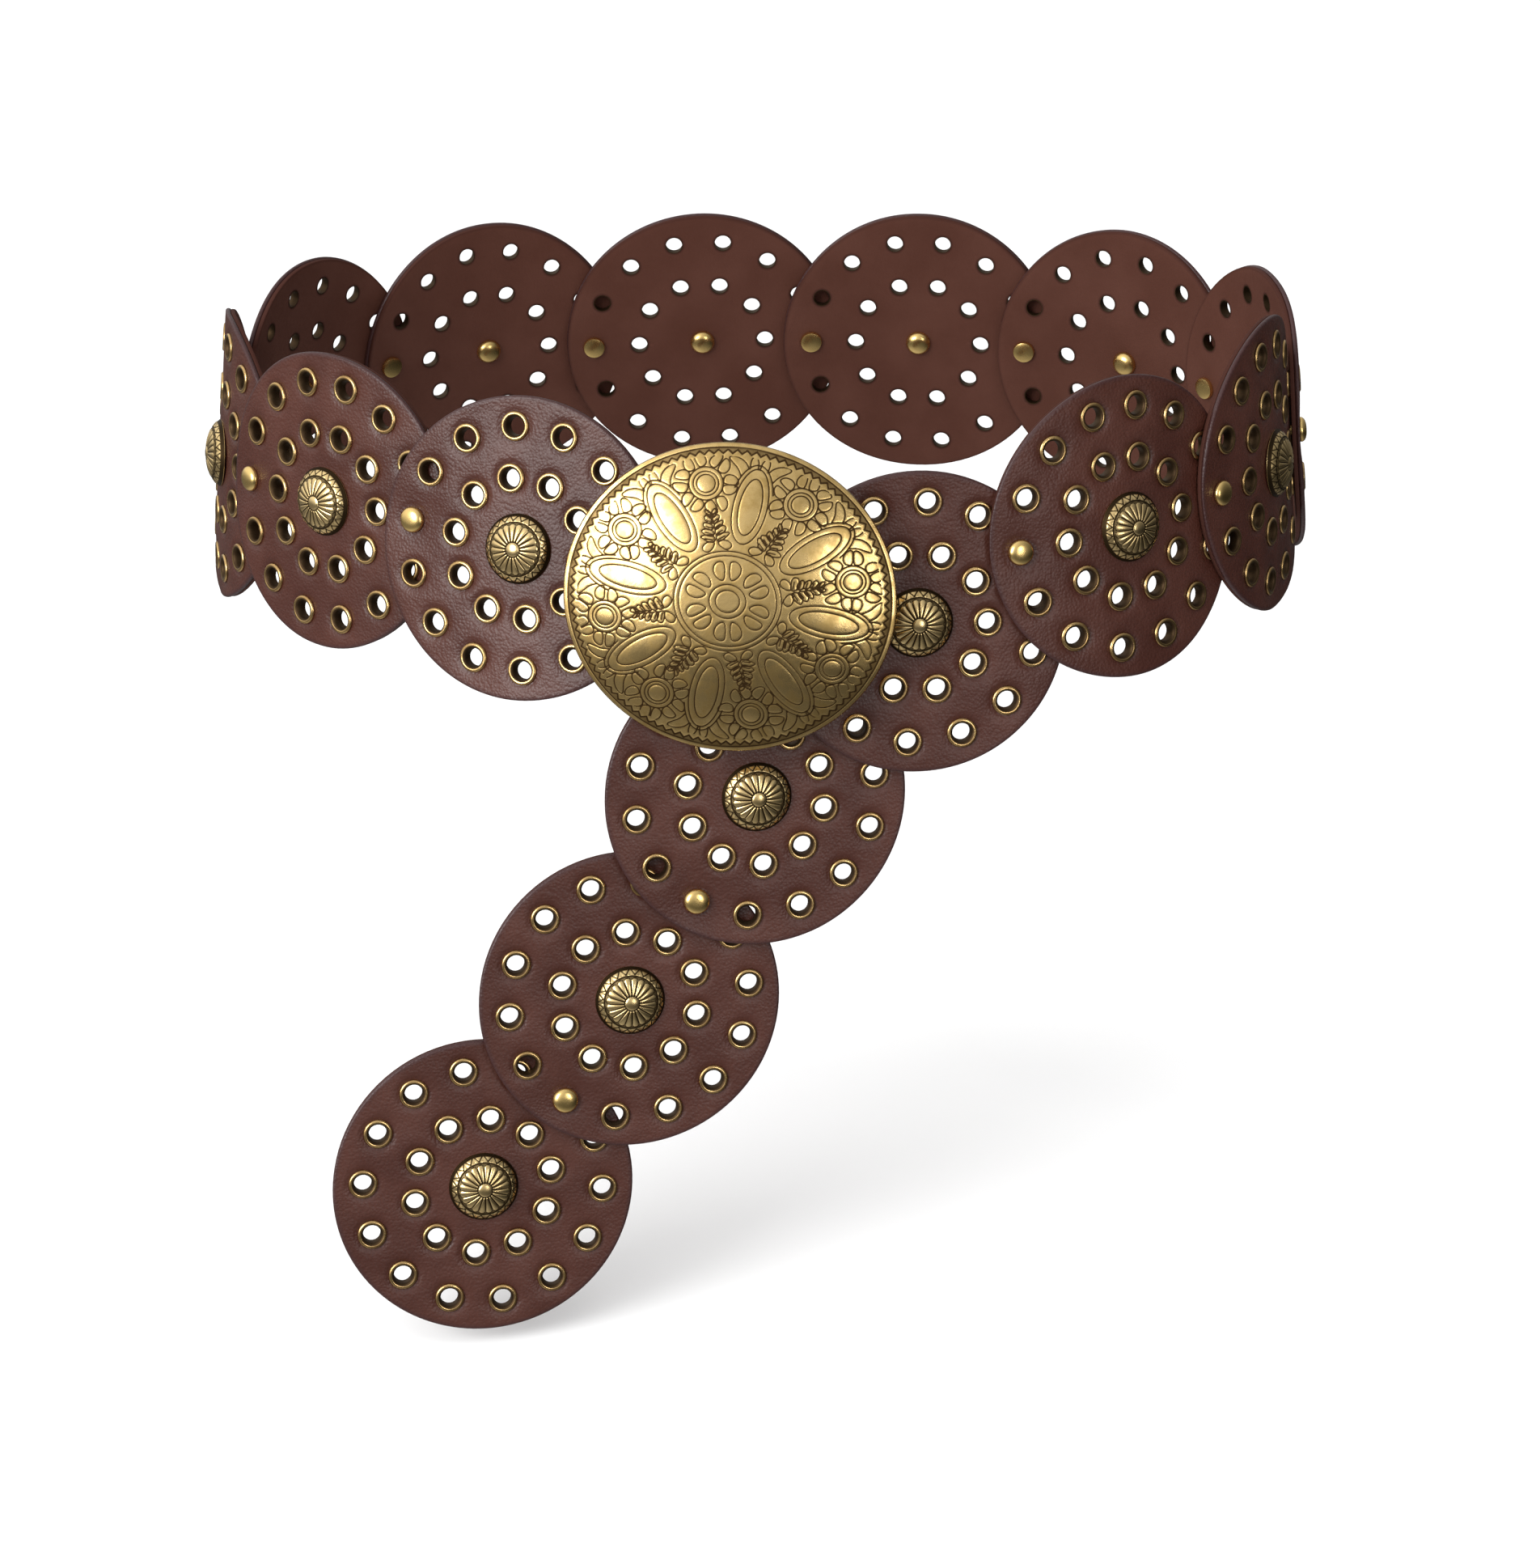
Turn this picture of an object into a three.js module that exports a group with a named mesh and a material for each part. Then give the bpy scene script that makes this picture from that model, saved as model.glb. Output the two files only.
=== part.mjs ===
// Concho belt: round two-ply leather discs riveted in one overlapping chain, with a small concho on
// each disc, a large oval buckle plate in front and three discs hanging as the free end.
// Millimetres, +Z up, the wearer faces -Y, and the origin is the middle of the waist loop.
import * as THREE from 'three';
import { mergeVertices } from 'three/addons/utils/BufferGeometryUtils.js';

// Leather discs
const DISC_RADIUS = 45;
const LEATHER_THICKNESS = 3;
const LAYER_GAP = 0.6;
const DISC_SIDES = 26;

// Holes: an outer ring that holds the chain rivets too, and an inner ring round the concho
const RIVET_CIRCLE_RADIUS = 36;
const OUTER_RING_HOLES = 14;
const INNER_RING_RADIUS = 20.8;
const INNER_RING_HOLES = 10;
const EYELET_BORE_RADIUS = 2.65;
const EYELET_SIDES = 6;

// Fastenings
const SEAT_CLEARANCE = 0.4;
const BORE_CLEARANCE = 0.4;
const BORE_SIDES = 6;
const RIVET_CAP_RADIUS = 3.75;
const RIVET_CAP_HEIGHT = 2.4;
const RIVET_SHANK_RADIUS = 1.5;
const RIVET_HEAD_RADIUS = 3.6;
const RIVET_HEAD_HEIGHT = 1.3;
const CONCHO_RADIUS = 10.1;
const CONCHO_HEIGHT = 4;
const CONCHO_POST_RADIUS = 2;
const CONCHO_CAP_RADIUS = 4;
const CONCHO_CAP_HEIGHT = 2.2;
const LATHE_SIDES = 10;
const RIVET_SIDES = 8;
const GENTLE_TURN = 9;

// Buckle plate: an oval brass dome on a post, and the bar that joins the two ends of the loop
const PLATE_WIDTH = 96.5;
const PLATE_HEIGHT = 89.5;
const PLATE_DOME = 10.5;
const PLATE_WALL = 1.4;
const PLATE_SIDES = 32;
const PLATE_STANDOFF = 4.2;
const PLATE_LEAN = -11;
const PLATE_DROP = 1.8;
const PLATE_SHIFT = 4.6;
const PLATE_POST_RADIUS = 2.5;
const PLATE_POST_HEAD_RADIUS = 4.2;
const PLATE_POST_HEAD_HEIGHT = 1.2;
const BAR_WIDTH = 11;
const BAR_THICKNESS = 1.8;
const BAR_MARGIN = 6;
const HOOK_WIDTH = 3.2;
const HOOK_NECK = 7;
const HOOK_TONGUE = 5.5;
const HOOKED_DISC = 12;
const HOOK_HOLE = 2;

// Distance between two rivets of a disc, which every place along the belt follows
const PITCH = 2 * RIVET_CIRCLE_RADIUS;
const LAYER_STEP = (LEATHER_THICKNESS + LAYER_GAP) / 2;

// The first rivet lies under the buckle plate, and the chain starts there to the wearer's right
const START_SHARE = { x: -0.534, y: -1.526, heading: 162.7 };

// One row for each disc, in the order of the chain: how far the belt turns over the disc's first
// and second half and how steeply the chain line climbs, in degrees, the lean of the disc, with
// its top outwards where positive, and whether its eyelet holes are cut through
const CHAIN = [
  { firstTurn: -7.2, secondTurn: -7.2, climb: 6.1, lean: -12.5, pierced: true },
  { firstTurn: -12.0, secondTurn: -12.1, climb: -1.9, lean: -5.0, pierced: false },
  { firstTurn: -24.6, secondTurn: -24.6, climb: -3.2, lean: -4.2, pierced: false },
  { firstTurn: -21.6, secondTurn: -21.7, climb: 4.3, lean: -8.8, pierced: false },
  { firstTurn: -15.7, secondTurn: -15.7, climb: 1.2, lean: -10.4, pierced: false },
  { firstTurn: -0.6, secondTurn: -0.6, climb: 1.6, lean: -9.2, pierced: false },
  { firstTurn: -7.0, secondTurn: -7.0, climb: -0.8, lean: -8.6, pierced: false },
  { firstTurn: -18.5, secondTurn: -18.6, climb: -1.5, lean: -4.8, pierced: false },
  { firstTurn: -22.0, secondTurn: -22.0, climb: 3.9, lean: -4.4, pierced: false },
  { firstTurn: -18.2, secondTurn: -18.3, climb: -0.3, lean: -4.8, pierced: false },
  { firstTurn: -17.7, secondTurn: -17.8, climb: -5.5, lean: -7.4, pierced: false },
  { firstTurn: -8.0, secondTurn: 4.2, climb: -33.7, lean: -4.6, pierced: true },
  { firstTurn: 0, secondTurn: 0, climb: -59.1, lean: -4.8, pierced: true },
  { firstTurn: 0, secondTurn: 0, climb: -55.9, lean: -4.8, pierced: true },
  { firstTurn: 0, secondTurn: 0, climb: -46.2, lean: -4.8, pierced: true },
];

// Dents and flares of the leather: the disc, the place from its centre along the belt and upwards
// in disc radii, and the reach outwards and the spread in disc radii
const DENTS = [
  { disc: 3, along: 0.1, up: -1.0, reach: -0.03, spread: 0.35 },
  { disc: 9, along: 0.1, up: 1.0, reach: -0.025, spread: 0.35 },
  { disc: 10, along: 0.0, up: -1.0, reach: -0.03, spread: 0.35 },
];

const leather = new THREE.MeshStandardMaterial({ color: 0x4b2227, roughness: 0.55, metalness: 0 });
const brass = new THREE.MeshStandardMaterial({ color: 0xa98a4c, roughness: 0.35, metalness: 1 });
const agedBrass = new THREE.MeshStandardMaterial({ color: 0x94793f, roughness: 0.4, metalness: 1 });

const UP = new THREE.Vector3(0, 0, 1);
const radians = THREE.MathUtils.degToRad;

// The mitred normal at a fold between two flat stretches
function mitre(before, after) {
  return before.clone().add(after).divideScalar(1 + before.dot(after));
}

// A ribbon is a row of stations, each with its distance along the ribbon, its point, the direction
// across the ribbon and the mitred normal. Its place() bends a flat piece onto the ribbon.
function ribbon(stations) {
  const place = (s, across, out) => {
    let k = 0;
    while (k < stations.length - 2 && s > stations[k + 1].s) k += 1;
    const a = stations[k];
    const b = stations[k + 1];
    const t = (s - a.s) / (b.s - a.s);
    const start = a.point.clone().addScaledVector(a.across, across).addScaledVector(a.normal, out);
    const end = b.point.clone().addScaledVector(b.across, across).addScaledVector(b.normal, out);
    return start.lerp(end, t);
  };
  return { stations, folds: stations.slice(1, -1).map((station) => station.s), place };
}

// Centre line of the chain: the rivets (joints) and disc centres in the flattened belt
const joints = [{ s: 0, z: 0 }];
const discs = CHAIN.map((row) => {
  const start = joints[joints.length - 1];
  const along = Math.cos(radians(row.climb));
  const rise = Math.sin(radians(row.climb));
  joints.push({ s: start.s + PITCH * along, z: start.z + PITCH * rise });
  return {
    ...row, along, rise, start, end: joints[joints.length - 1],
    s: start.s + RIVET_CIRCLE_RADIUS * along, z: start.z + RIVET_CIRCLE_RADIUS * rise,
  };
});

// Lean of the belt at a distance along it, in radians, eased from each disc's centre to the next
function leanAt(s) {
  if (s <= discs[0].s) return radians(discs[0].lean);
  const k = discs.findIndex((disc) => disc.s > s);
  if (k < 0) return radians(discs[discs.length - 1].lean);
  const t = (s - discs[k - 1].s) / (discs[k].s - discs[k - 1].s);
  return radians(THREE.MathUtils.lerp(discs[k - 1].lean, discs[k].lean, t));
}

// The belt's own ribbon. Each half disc has a fold in its middle, or two folds a quarter of its
// length from either end where it turns more, so that rivets and conchos sit on flat leather.
function beltRibbon() {
  const folds = [];
  for (const disc of discs) {
    const half = disc.s - disc.start.s;
    for (const [from, turn] of [[disc.start.s, disc.firstTurn], [disc.s, disc.secondTurn]]) {
      const shares = Math.abs(turn) <= GENTLE_TURN ? [1 / 2] : [1 / 4, 3 / 4];
      for (const share of shares) folds.push({ s: from + half * share, turn: turn / shares.length });
    }
  }
  const bends = folds.filter((fold) => fold.turn !== 0);
  let heading = radians(START_SHARE.heading);
  let s = -DISC_RADIUS;
  const direction = () => new THREE.Vector3(Math.cos(heading), Math.sin(heading), 0);
  const outward = () => new THREE.Vector3(-Math.sin(heading), Math.cos(heading), 0);
  const point = new THREE.Vector3(START_SHARE.x * PITCH, START_SHARE.y * PITCH, 0);
  point.addScaledVector(direction(), s);
  const stations = [];
  const addStation = (normal) => {
    const lean = leanAt(s);
    const across = normal.clone().multiplyScalar(Math.sin(lean)).addScaledVector(UP, Math.cos(lean));
    const out = normal.clone().multiplyScalar(Math.cos(lean)).addScaledVector(UP, -Math.sin(lean));
    stations.push({ s, point: point.clone(), across, normal: out });
  };
  addStation(outward());
  for (const bend of bends) {
    point.addScaledVector(direction(), bend.s - s);
    s = bend.s;
    const before = outward();
    heading += radians(bend.turn);
    addStation(mitre(before, outward()));
  }
  const last = joints[joints.length - 1].s + DISC_RADIUS;
  point.addScaledVector(direction(), last - s);
  s = last;
  addStation(outward());
  return ribbon(stations);
}

const belt = beltRibbon();

// How far the leather is pushed outwards by its dents, the same for every layer at that place
function dentAt(s, z) {
  let push = 0;
  for (const dent of DENTS) {
    const disc = discs[dent.disc - 1];
    const along = (s - disc.s) / DISC_RADIUS - dent.along;
    const up = (z - disc.z) / DISC_RADIUS - dent.up;
    push += dent.reach * DISC_RADIUS * Math.exp(-(along * along + up * up) / dent.spread ** 2);
  }
  return push;
}

// Unit direction of the chain line where two discs meet, halfway between their own directions
function meetingDirection(a, b) {
  const along = a.along + b.along;
  const rise = a.rise + b.rise;
  const length = Math.hypot(along, rise);
  return { along: along / length, rise: rise / length };
}

// Middle of a disc's thickness: it starts under its neighbour before and ends over the one after
function layerAt(index, s, z) {
  const disc = discs[index];
  const first = meetingDirection(discs[Math.max(index - 1, 0)], disc);
  const second = meetingDirection(disc, discs[Math.min(index + 1, discs.length - 1)]);
  const fromStart = (s - disc.start.s) * first.along + (z - disc.start.z) * first.rise;
  const fromEnd = (s - disc.end.s) * second.along + (z - disc.end.z) * second.rise;
  const ownPlace = ((s - disc.s) * disc.along + (z - disc.z) * disc.rise) / RIVET_CIRCLE_RADIUS;
  const lens = DISC_RADIUS / RIVET_CIRCLE_RADIUS - 1;
  const blend = THREE.MathUtils.clamp((ownPlace / (1 - lens) + 1) / 2, 0, 1);
  const under = fromStart / RIVET_CIRCLE_RADIUS - 1;
  const over = fromEnd / RIVET_CIRCLE_RADIUS + 1;
  return LAYER_STEP * THREE.MathUtils.lerp(under, over, blend);
}

function circle(x, y, radius, sides, turn = 0) {
  const points = [];
  for (let k = 0; k < sides; k += 1) {
    const angle = turn + (k + 0.5) * 2 * Math.PI / sides;
    points.push(new THREE.Vector2(x + radius * Math.cos(angle), y + radius * Math.sin(angle)));
  }
  return points;
}

// A hole that a round shank passes through with its clearance all round
function bore(x, y, shankRadius) {
  return circle(x, y, (shankRadius + BORE_CLEARANCE) / Math.cos(Math.PI / BORE_SIDES), BORE_SIDES);
}

// The part of a convex outline on one side of a line across the ribbon: side is 1 for beyond it
// and -1 for before it
function cutOutline(outline, line, side) {
  const kept = [];
  outline.forEach((corner, n) => {
    const other = outline[(n + 1) % outline.length];
    const here = (corner.x - line) * side;
    const there = (other.x - line) * side;
    if (here >= 0) kept.push(corner);
    if (here * there < 0) {
      kept.push(corner.clone().lerp(other, here / (here - there)).setX(line));
    }
  });
  return kept;
}

// The outline of one flat stretch between two folds. A hole that a fold crosses becomes a notch in
// the stretch's straight edge, and the other holes stay holes.
function stretch(outline, holes, low, high) {
  const contour = cutOutline(cutOutline(outline, low, 1), high, -1);
  const inside = holes.filter((hole) => hole.every((corner) => corner.x > low && corner.x < high));
  const notchesOn = (line, side) => holes
    .filter((hole) => hole.some((c) => c.x < line) && hole.some((c) => c.x > line))
    .map((hole) => {
      const cut = cutOutline(hole, line, side);
      const onLine = cut.map((c) => c.x === line);
      const first = onLine.findIndex((on, n) => on && !onLine[(n + 1) % cut.length]);
      return [...cut.slice(first), ...cut.slice(0, first)].reverse();
    })
    .sort((p, q) => side * (q[0].y - p[0].y));
  const points = [];
  contour.forEach((corner, n) => {
    const other = contour[(n + 1) % contour.length];
    points.push(corner);
    if (corner.x === high && other.x === high) points.push(...notchesOn(high, -1).flat());
    if (corner.x === low && other.x === low) points.push(...notchesOn(low, 1).flat());
  });
  return { contour: points, holes: inside };
}

// Bends a flat piece onto a ribbon: its outline and holes run counter-clockwise with x along the
// ribbon and y across it, and each stretch between two folds stays flat
function bend(outline, holes, thickness, folds, place, mirrored) {
  const positions = [];
  const addFace = (corners) => {
    const ordered = mirrored ? corners.slice().reverse() : corners;
    for (const [corner, depth] of ordered) positions.push(...place(corner.x, corner.y, depth).toArray());
  };
  const addWalls = (points, low, high) => points.forEach((corner, n) => {
    const other = points[(n + 1) % points.length];
    const inner = [low, high].some((line) => corner.x === line && other.x === line);
    if (inner) return;
    addFace([[corner, 0], [other, 0], [other, thickness]]);
    addFace([[corner, 0], [other, thickness], [corner, thickness]]);
  });
  const from = Math.min(...outline.map((corner) => corner.x));
  const to = Math.max(...outline.map((corner) => corner.x));
  const lines = [-Infinity, ...folds.filter((fold) => fold > from && fold < to), Infinity];
  for (let k = 0; k + 1 < lines.length; k += 1) {
    const flat = stretch(outline, holes, lines[k], lines[k + 1]);
    const corners = [flat.contour, ...flat.holes].flat();
    for (const [a, b, c] of THREE.ShapeUtils.triangulateShape(flat.contour, flat.holes)) {
      addFace([[corners[a], thickness], [corners[b], thickness], [corners[c], thickness]]);
      addFace([[corners[a], 0], [corners[c], 0], [corners[b], 0]]);
    }
    addWalls(flat.contour, lines[k], lines[k + 1]);
    flat.holes.forEach((hole) => addWalls(hole.slice().reverse(), lines[k], lines[k + 1]));
  }
  const bent = new THREE.BufferGeometry();
  bent.setAttribute('position', new THREE.Float32BufferAttribute(positions, 3));
  return mergeVertices(bent, 1e-3);
}

// The bores and eyelet holes of a disc in the flattened belt
function discHoles(disc, isLast) {
  const holes = [bore(disc.start.s, disc.start.z, RIVET_SHANK_RADIUS)];
  if (!isLast) holes.push(bore(disc.end.s, disc.end.z, RIVET_SHANK_RADIUS));
  holes.push(bore(disc.s, disc.z, CONCHO_POST_RADIUS));
  if (!disc.pierced) return holes;
  for (const hole of eyeletPlaces(disc, isLast)) {
    holes.push(circle(hole.s, hole.z, EYELET_BORE_RADIUS, EYELET_SIDES));
  }
  return holes;
}

// Eyelet places of one disc. The outer ring leaves out the two places of the chain rivets.
function eyeletPlaces(disc, isLast) {
  const places = [];
  const addRing = (count, radius, taken) => {
    for (let k = 0; k < count; k += 1) {
      const angle = radians(disc.climb) + k * 2 * Math.PI / count;
      const s = disc.s + radius * Math.cos(angle);
      const z = disc.z + radius * Math.sin(angle);
      if (!taken.includes(k)) places.push({ s, z });
    }
  };
  addRing(OUTER_RING_HOLES, RIVET_CIRCLE_RADIUS, isLast ? [OUTER_RING_HOLES / 2] : [0, OUTER_RING_HOLES / 2]);
  addRing(INNER_RING_HOLES, INNER_RING_RADIUS, []);
  return places;
}

// A turned solid from its outline in [radius, height] pairs
function turned(outline, sides = LATHE_SIDES) {
  const solid = new THREE.LatheGeometry(outline.map(([r, h]) => new THREE.Vector2(r, h)), sides);
  solid.deleteAttribute('normal');
  solid.deleteAttribute('uv');
  return mergeVertices(solid, 1e-4);
}

// Places a turned solid with its axis outwards and its zero height at the given point
function seat(mesh, origin, outward, upward) {
  const y = outward.clone().normalize();
  const x = new THREE.Vector3().crossVectors(y, upward).normalize();
  const z = new THREE.Vector3().crossVectors(x, y);
  mesh.quaternion.setFromRotationMatrix(new THREE.Matrix4().makeBasis(x, y, z));
  mesh.position.copy(origin);
  return mesh;
}

// The point, outward normal and directions of a layer of the belt at a place on it
function frameAt(s, z, layer, out = 0) {
  const place = (ds, dz) => belt.place(s + ds, z + dz, layer(s + ds, z + dz) + out + dentAt(s + ds, z + dz));
  const along = place(1, 0).sub(place(-1, 0)).normalize();
  const upward = place(0, 1).sub(place(0, -1)).normalize();
  return { origin: place(0, 0), along, upward, outward: new THREE.Vector3().crossVectors(upward, along) };
}

const model = new THREE.Group();

function addPiece(name, geometry, material) {
  const mesh = new THREE.Mesh(geometry, material);
  mesh.name = name;
  model.add(mesh);
  return mesh;
}

// A cap rivet through a stack of the given thickness, with zero height at the stack's middle
function rivetOutline(stack) {
  const top = stack / 2 + SEAT_CLEARANCE;
  return [
    [0, -top - RIVET_HEAD_HEIGHT],
    [RIVET_HEAD_RADIUS, -top],
    [RIVET_SHANK_RADIUS, -top],
    [RIVET_SHANK_RADIUS, top],
    [RIVET_CAP_RADIUS, top],
    [RIVET_CAP_RADIUS * 0.75, top + RIVET_CAP_HEIGHT * 0.7],
    [0, top + RIVET_CAP_HEIGHT],
  ];
}

// A concho with its post and inner cap, with zero height at the middle of the leather
function conchoOutline() {
  const top = LEATHER_THICKNESS / 2 + SEAT_CLEARANCE;
  return [
    [0, -top - CONCHO_CAP_HEIGHT],
    [CONCHO_CAP_RADIUS, -top],
    [CONCHO_POST_RADIUS, -top],
    [CONCHO_POST_RADIUS, top],
    [CONCHO_RADIUS, top],
    [CONCHO_RADIUS * 0.93, top + CONCHO_HEIGHT * 0.4],
    [CONCHO_RADIUS * 0.6, top + CONCHO_HEIGHT * 0.84],
    [0, top + CONCHO_HEIGHT],
  ];
}

discs.forEach((disc, index) => {
  const isLast = index === discs.length - 1;
  const place = (s, z, depth) => {
    const middle = layerAt(index, s, z) + dentAt(s, z);
    return belt.place(s, z, middle + depth - LEATHER_THICKNESS / 2);
  };
  const outline = circle(disc.s, disc.z, DISC_RADIUS, DISC_SIDES, radians(disc.climb));
  const holes = discHoles(disc, isLast);
  const leatherBody = bend(outline, holes, LEATHER_THICKNESS, belt.folds, place, true);
  addPiece(`leather_disc_${index + 1}`, leatherBody, leather);
  const middle = frameAt(disc.s, disc.z, (s, z) => layerAt(index, s, z));
  const concho = addPiece(`concho_${index + 1}`, turned(conchoOutline()), agedBrass);
  seat(concho, middle.origin, middle.outward, middle.upward);
});

joints.slice(1, -1).forEach((joint, index) => {
  const between = (s, z) => (layerAt(index, s, z) + layerAt(index + 1, s, z)) / 2;
  const middle = frameAt(joint.s, joint.z, between);
  const stack = 2 * LEATHER_THICKNESS + LAYER_GAP;
  const rivet = addPiece(`cap_rivet_${index + 1}`, turned(rivetOutline(stack), RIVET_SIDES), brass);
  seat(rivet, middle.origin, middle.outward, middle.upward);
});

// The bar lies on the first disc's end, bridges to the twelfth disc and hooks into its eyelet
const hooked = discs[HOOKED_DISC - 1];
const hookAngle = radians(hooked.climb + HOOK_HOLE * 360 / OUTER_RING_HOLES);
const hookPlace = {
  s: hooked.s + RIVET_CIRCLE_RADIUS * Math.cos(hookAngle),
  z: hooked.z + RIVET_CIRCLE_RADIUS * Math.sin(hookAngle),
};
const outerFace = LEATHER_THICKNESS / 2 + SEAT_CLEARANCE;
const firstFace = frameAt(joints[0].s, joints[0].z, (s, z) => layerAt(0, s, z), outerFace);
const hookedLayer = (s, z) => layerAt(HOOKED_DISC - 1, s, z);
const hookFace = frameAt(hookPlace.s, hookPlace.z, hookedLayer, outerFace);

function barRibbon() {
  const inHole = hookFace.origin.clone().addScaledVector(hookFace.along, BAR_THICKNESS / 2);
  const edge = DISC_RADIUS - RIVET_CIRCLE_RADIUS + BAR_THICKNESS;
  const depth = LEATHER_THICKNESS + 2 * SEAT_CLEARANCE;
  const points = [
    firstFace.origin.clone().addScaledVector(firstFace.along, BAR_MARGIN),
    firstFace.origin.clone().addScaledVector(firstFace.along, -edge),
    hookFace.origin.clone().addScaledVector(hookFace.along, edge),
    inHole,
    inHole.clone().addScaledVector(hookFace.outward, -depth),
    inHole.clone().addScaledVector(hookFace.outward, -depth).addScaledVector(hookFace.along, HOOK_TONGUE),
  ];
  const across = [firstFace, firstFace, hookFace, hookFace, hookFace, hookFace].map((face) => face.upward);
  const normals = points.slice(1).map((point, k) => {
    const along = point.clone().sub(points[k]).normalize();
    return new THREE.Vector3().crossVectors(along, across[k + 1]).normalize();
  });
  let s = 0;
  return ribbon(points.map((point, k) => {
    if (k > 0) s += point.distanceTo(points[k - 1]);
    const before = normals[Math.max(k - 1, 0)];
    const after = normals[Math.min(k, normals.length - 1)];
    return { s, point, across: across[k], normal: mitre(before, after) };
  }));
}

const bar = barRibbon();
const [, bridgeStart, bridgeEnd, barHook, , barEnd] = bar.stations;
const postPlace = { s: (bridgeStart.s + bridgeEnd.s) / 2 + PLATE_SHIFT, z: -PLATE_DROP };

const barOutline = [
  [0, -BAR_WIDTH / 2],
  [barHook.s - HOOK_NECK, -BAR_WIDTH / 2],
  [barHook.s - HOOK_WIDTH / 2, -HOOK_WIDTH / 2],
  [barEnd.s, -HOOK_WIDTH / 2],
  [barEnd.s, HOOK_WIDTH / 2],
  [barHook.s - HOOK_WIDTH / 2, HOOK_WIDTH / 2],
  [barHook.s - HOOK_NECK, BAR_WIDTH / 2],
  [0, BAR_WIDTH / 2],
].map(([along, across]) => new THREE.Vector2(along, across));
const barHoles = [
  bore(BAR_MARGIN, 0, RIVET_SHANK_RADIUS),
  bore(postPlace.s, postPlace.z, PLATE_POST_RADIUS),
];

addPiece('buckle_hook', bend(barOutline, barHoles, BAR_THICKNESS, bar.folds, bar.place, false), brass);

const barRivetStack = LEATHER_THICKNESS + SEAT_CLEARANCE + BAR_THICKNESS;
const barRivet = addPiece('buckle_rivet', turned(rivetOutline(barRivetStack), RIVET_SIDES), brass);
const barRivetOut = (BAR_THICKNESS - LEATHER_THICKNESS - SEAT_CLEARANCE) / 2;
const barRivetPoint = firstFace.origin.clone().addScaledVector(firstFace.outward, barRivetOut);
seat(barRivet, barRivetPoint, firstFace.outward, firstFace.upward);

// The plate's dome, post and post head in one turned outline, then drawn out to the oval. The
// height is zero on the bar's back.
function plateOutline() {
  const rim = BAR_THICKNESS + PLATE_STANDOFF;
  const radius = PLATE_HEIGHT / 2;
  const outer = (share) => rim + PLATE_WALL + (PLATE_DOME - PLATE_WALL) * (1 - share ** 2.2);
  const inner = (share) => rim + (PLATE_DOME - PLATE_WALL) * (1 - share ** 2.2);
  const shares = [0.92, 0.74, 0.5, 0.25];
  const hidden = -SEAT_CLEARANCE;
  return [
    [0, hidden - PLATE_POST_HEAD_HEIGHT],
    [PLATE_POST_HEAD_RADIUS, hidden - PLATE_POST_HEAD_HEIGHT],
    [PLATE_POST_HEAD_RADIUS, hidden],
    [PLATE_POST_RADIUS, hidden],
    [PLATE_POST_RADIUS, inner(PLATE_POST_RADIUS / radius)],
    ...shares.slice().reverse().map((share) => [radius * share, inner(share)]),
    [radius * 0.985, rim],
    [radius, rim + PLATE_WALL / 2],
    [radius * 0.985, rim + PLATE_WALL],
    ...shares.map((share) => [radius * share, outer(share)]),
    [0, outer(0)],
  ];
}

function ovalPlate() {
  const plate = turned(plateOutline(), PLATE_SIDES);
  const position = plate.getAttribute('position');
  for (let k = 0; k < position.count; k += 1) {
    const radius = Math.hypot(position.getX(k), position.getZ(k));
    const share = (radius - PLATE_POST_HEAD_RADIUS) / (PLATE_HEIGHT / 2 - PLATE_POST_HEAD_RADIUS);
    const stretch = THREE.MathUtils.lerp(1, PLATE_WIDTH / PLATE_HEIGHT, Math.max(share, 0));
    position.setX(k, position.getX(k) * stretch);
  }
  return plate;
}

const barAlong = bridgeEnd.point.clone().sub(bridgeStart.point).normalize();
const barUpward = UP.clone().applyAxisAngle(barAlong, radians(PLATE_LEAN));
const plateOutward = new THREE.Vector3().crossVectors(barAlong, barUpward).normalize();
const plate = addPiece('buckle_plate', ovalPlate(), agedBrass);
seat(plate, bar.place(postPlace.s, postPlace.z, 0), plateOutward, barUpward);

export default model;
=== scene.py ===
"""Concho belt of round leather discs with eyelets, small brass conchos and an oval concho buckle.

Metres, +Z up, the wearer faces -Y. Each section makes one kind of piece, in the order in which the
belt is put together.
"""

import math

import bpy
import numpy as np
from mathutils import Matrix, Vector, noise


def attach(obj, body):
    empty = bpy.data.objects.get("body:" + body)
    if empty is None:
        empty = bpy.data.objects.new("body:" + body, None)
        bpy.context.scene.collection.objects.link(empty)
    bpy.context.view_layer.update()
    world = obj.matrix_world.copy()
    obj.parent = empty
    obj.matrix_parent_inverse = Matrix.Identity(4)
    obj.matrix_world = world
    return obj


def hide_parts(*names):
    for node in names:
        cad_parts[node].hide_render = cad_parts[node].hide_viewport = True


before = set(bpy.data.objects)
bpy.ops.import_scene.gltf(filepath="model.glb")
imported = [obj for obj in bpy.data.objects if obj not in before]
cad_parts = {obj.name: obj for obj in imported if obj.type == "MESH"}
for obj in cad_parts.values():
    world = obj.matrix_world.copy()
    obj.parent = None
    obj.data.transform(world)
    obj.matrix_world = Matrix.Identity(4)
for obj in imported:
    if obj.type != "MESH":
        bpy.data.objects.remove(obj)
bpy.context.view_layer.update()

MM = 0.001


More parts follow.
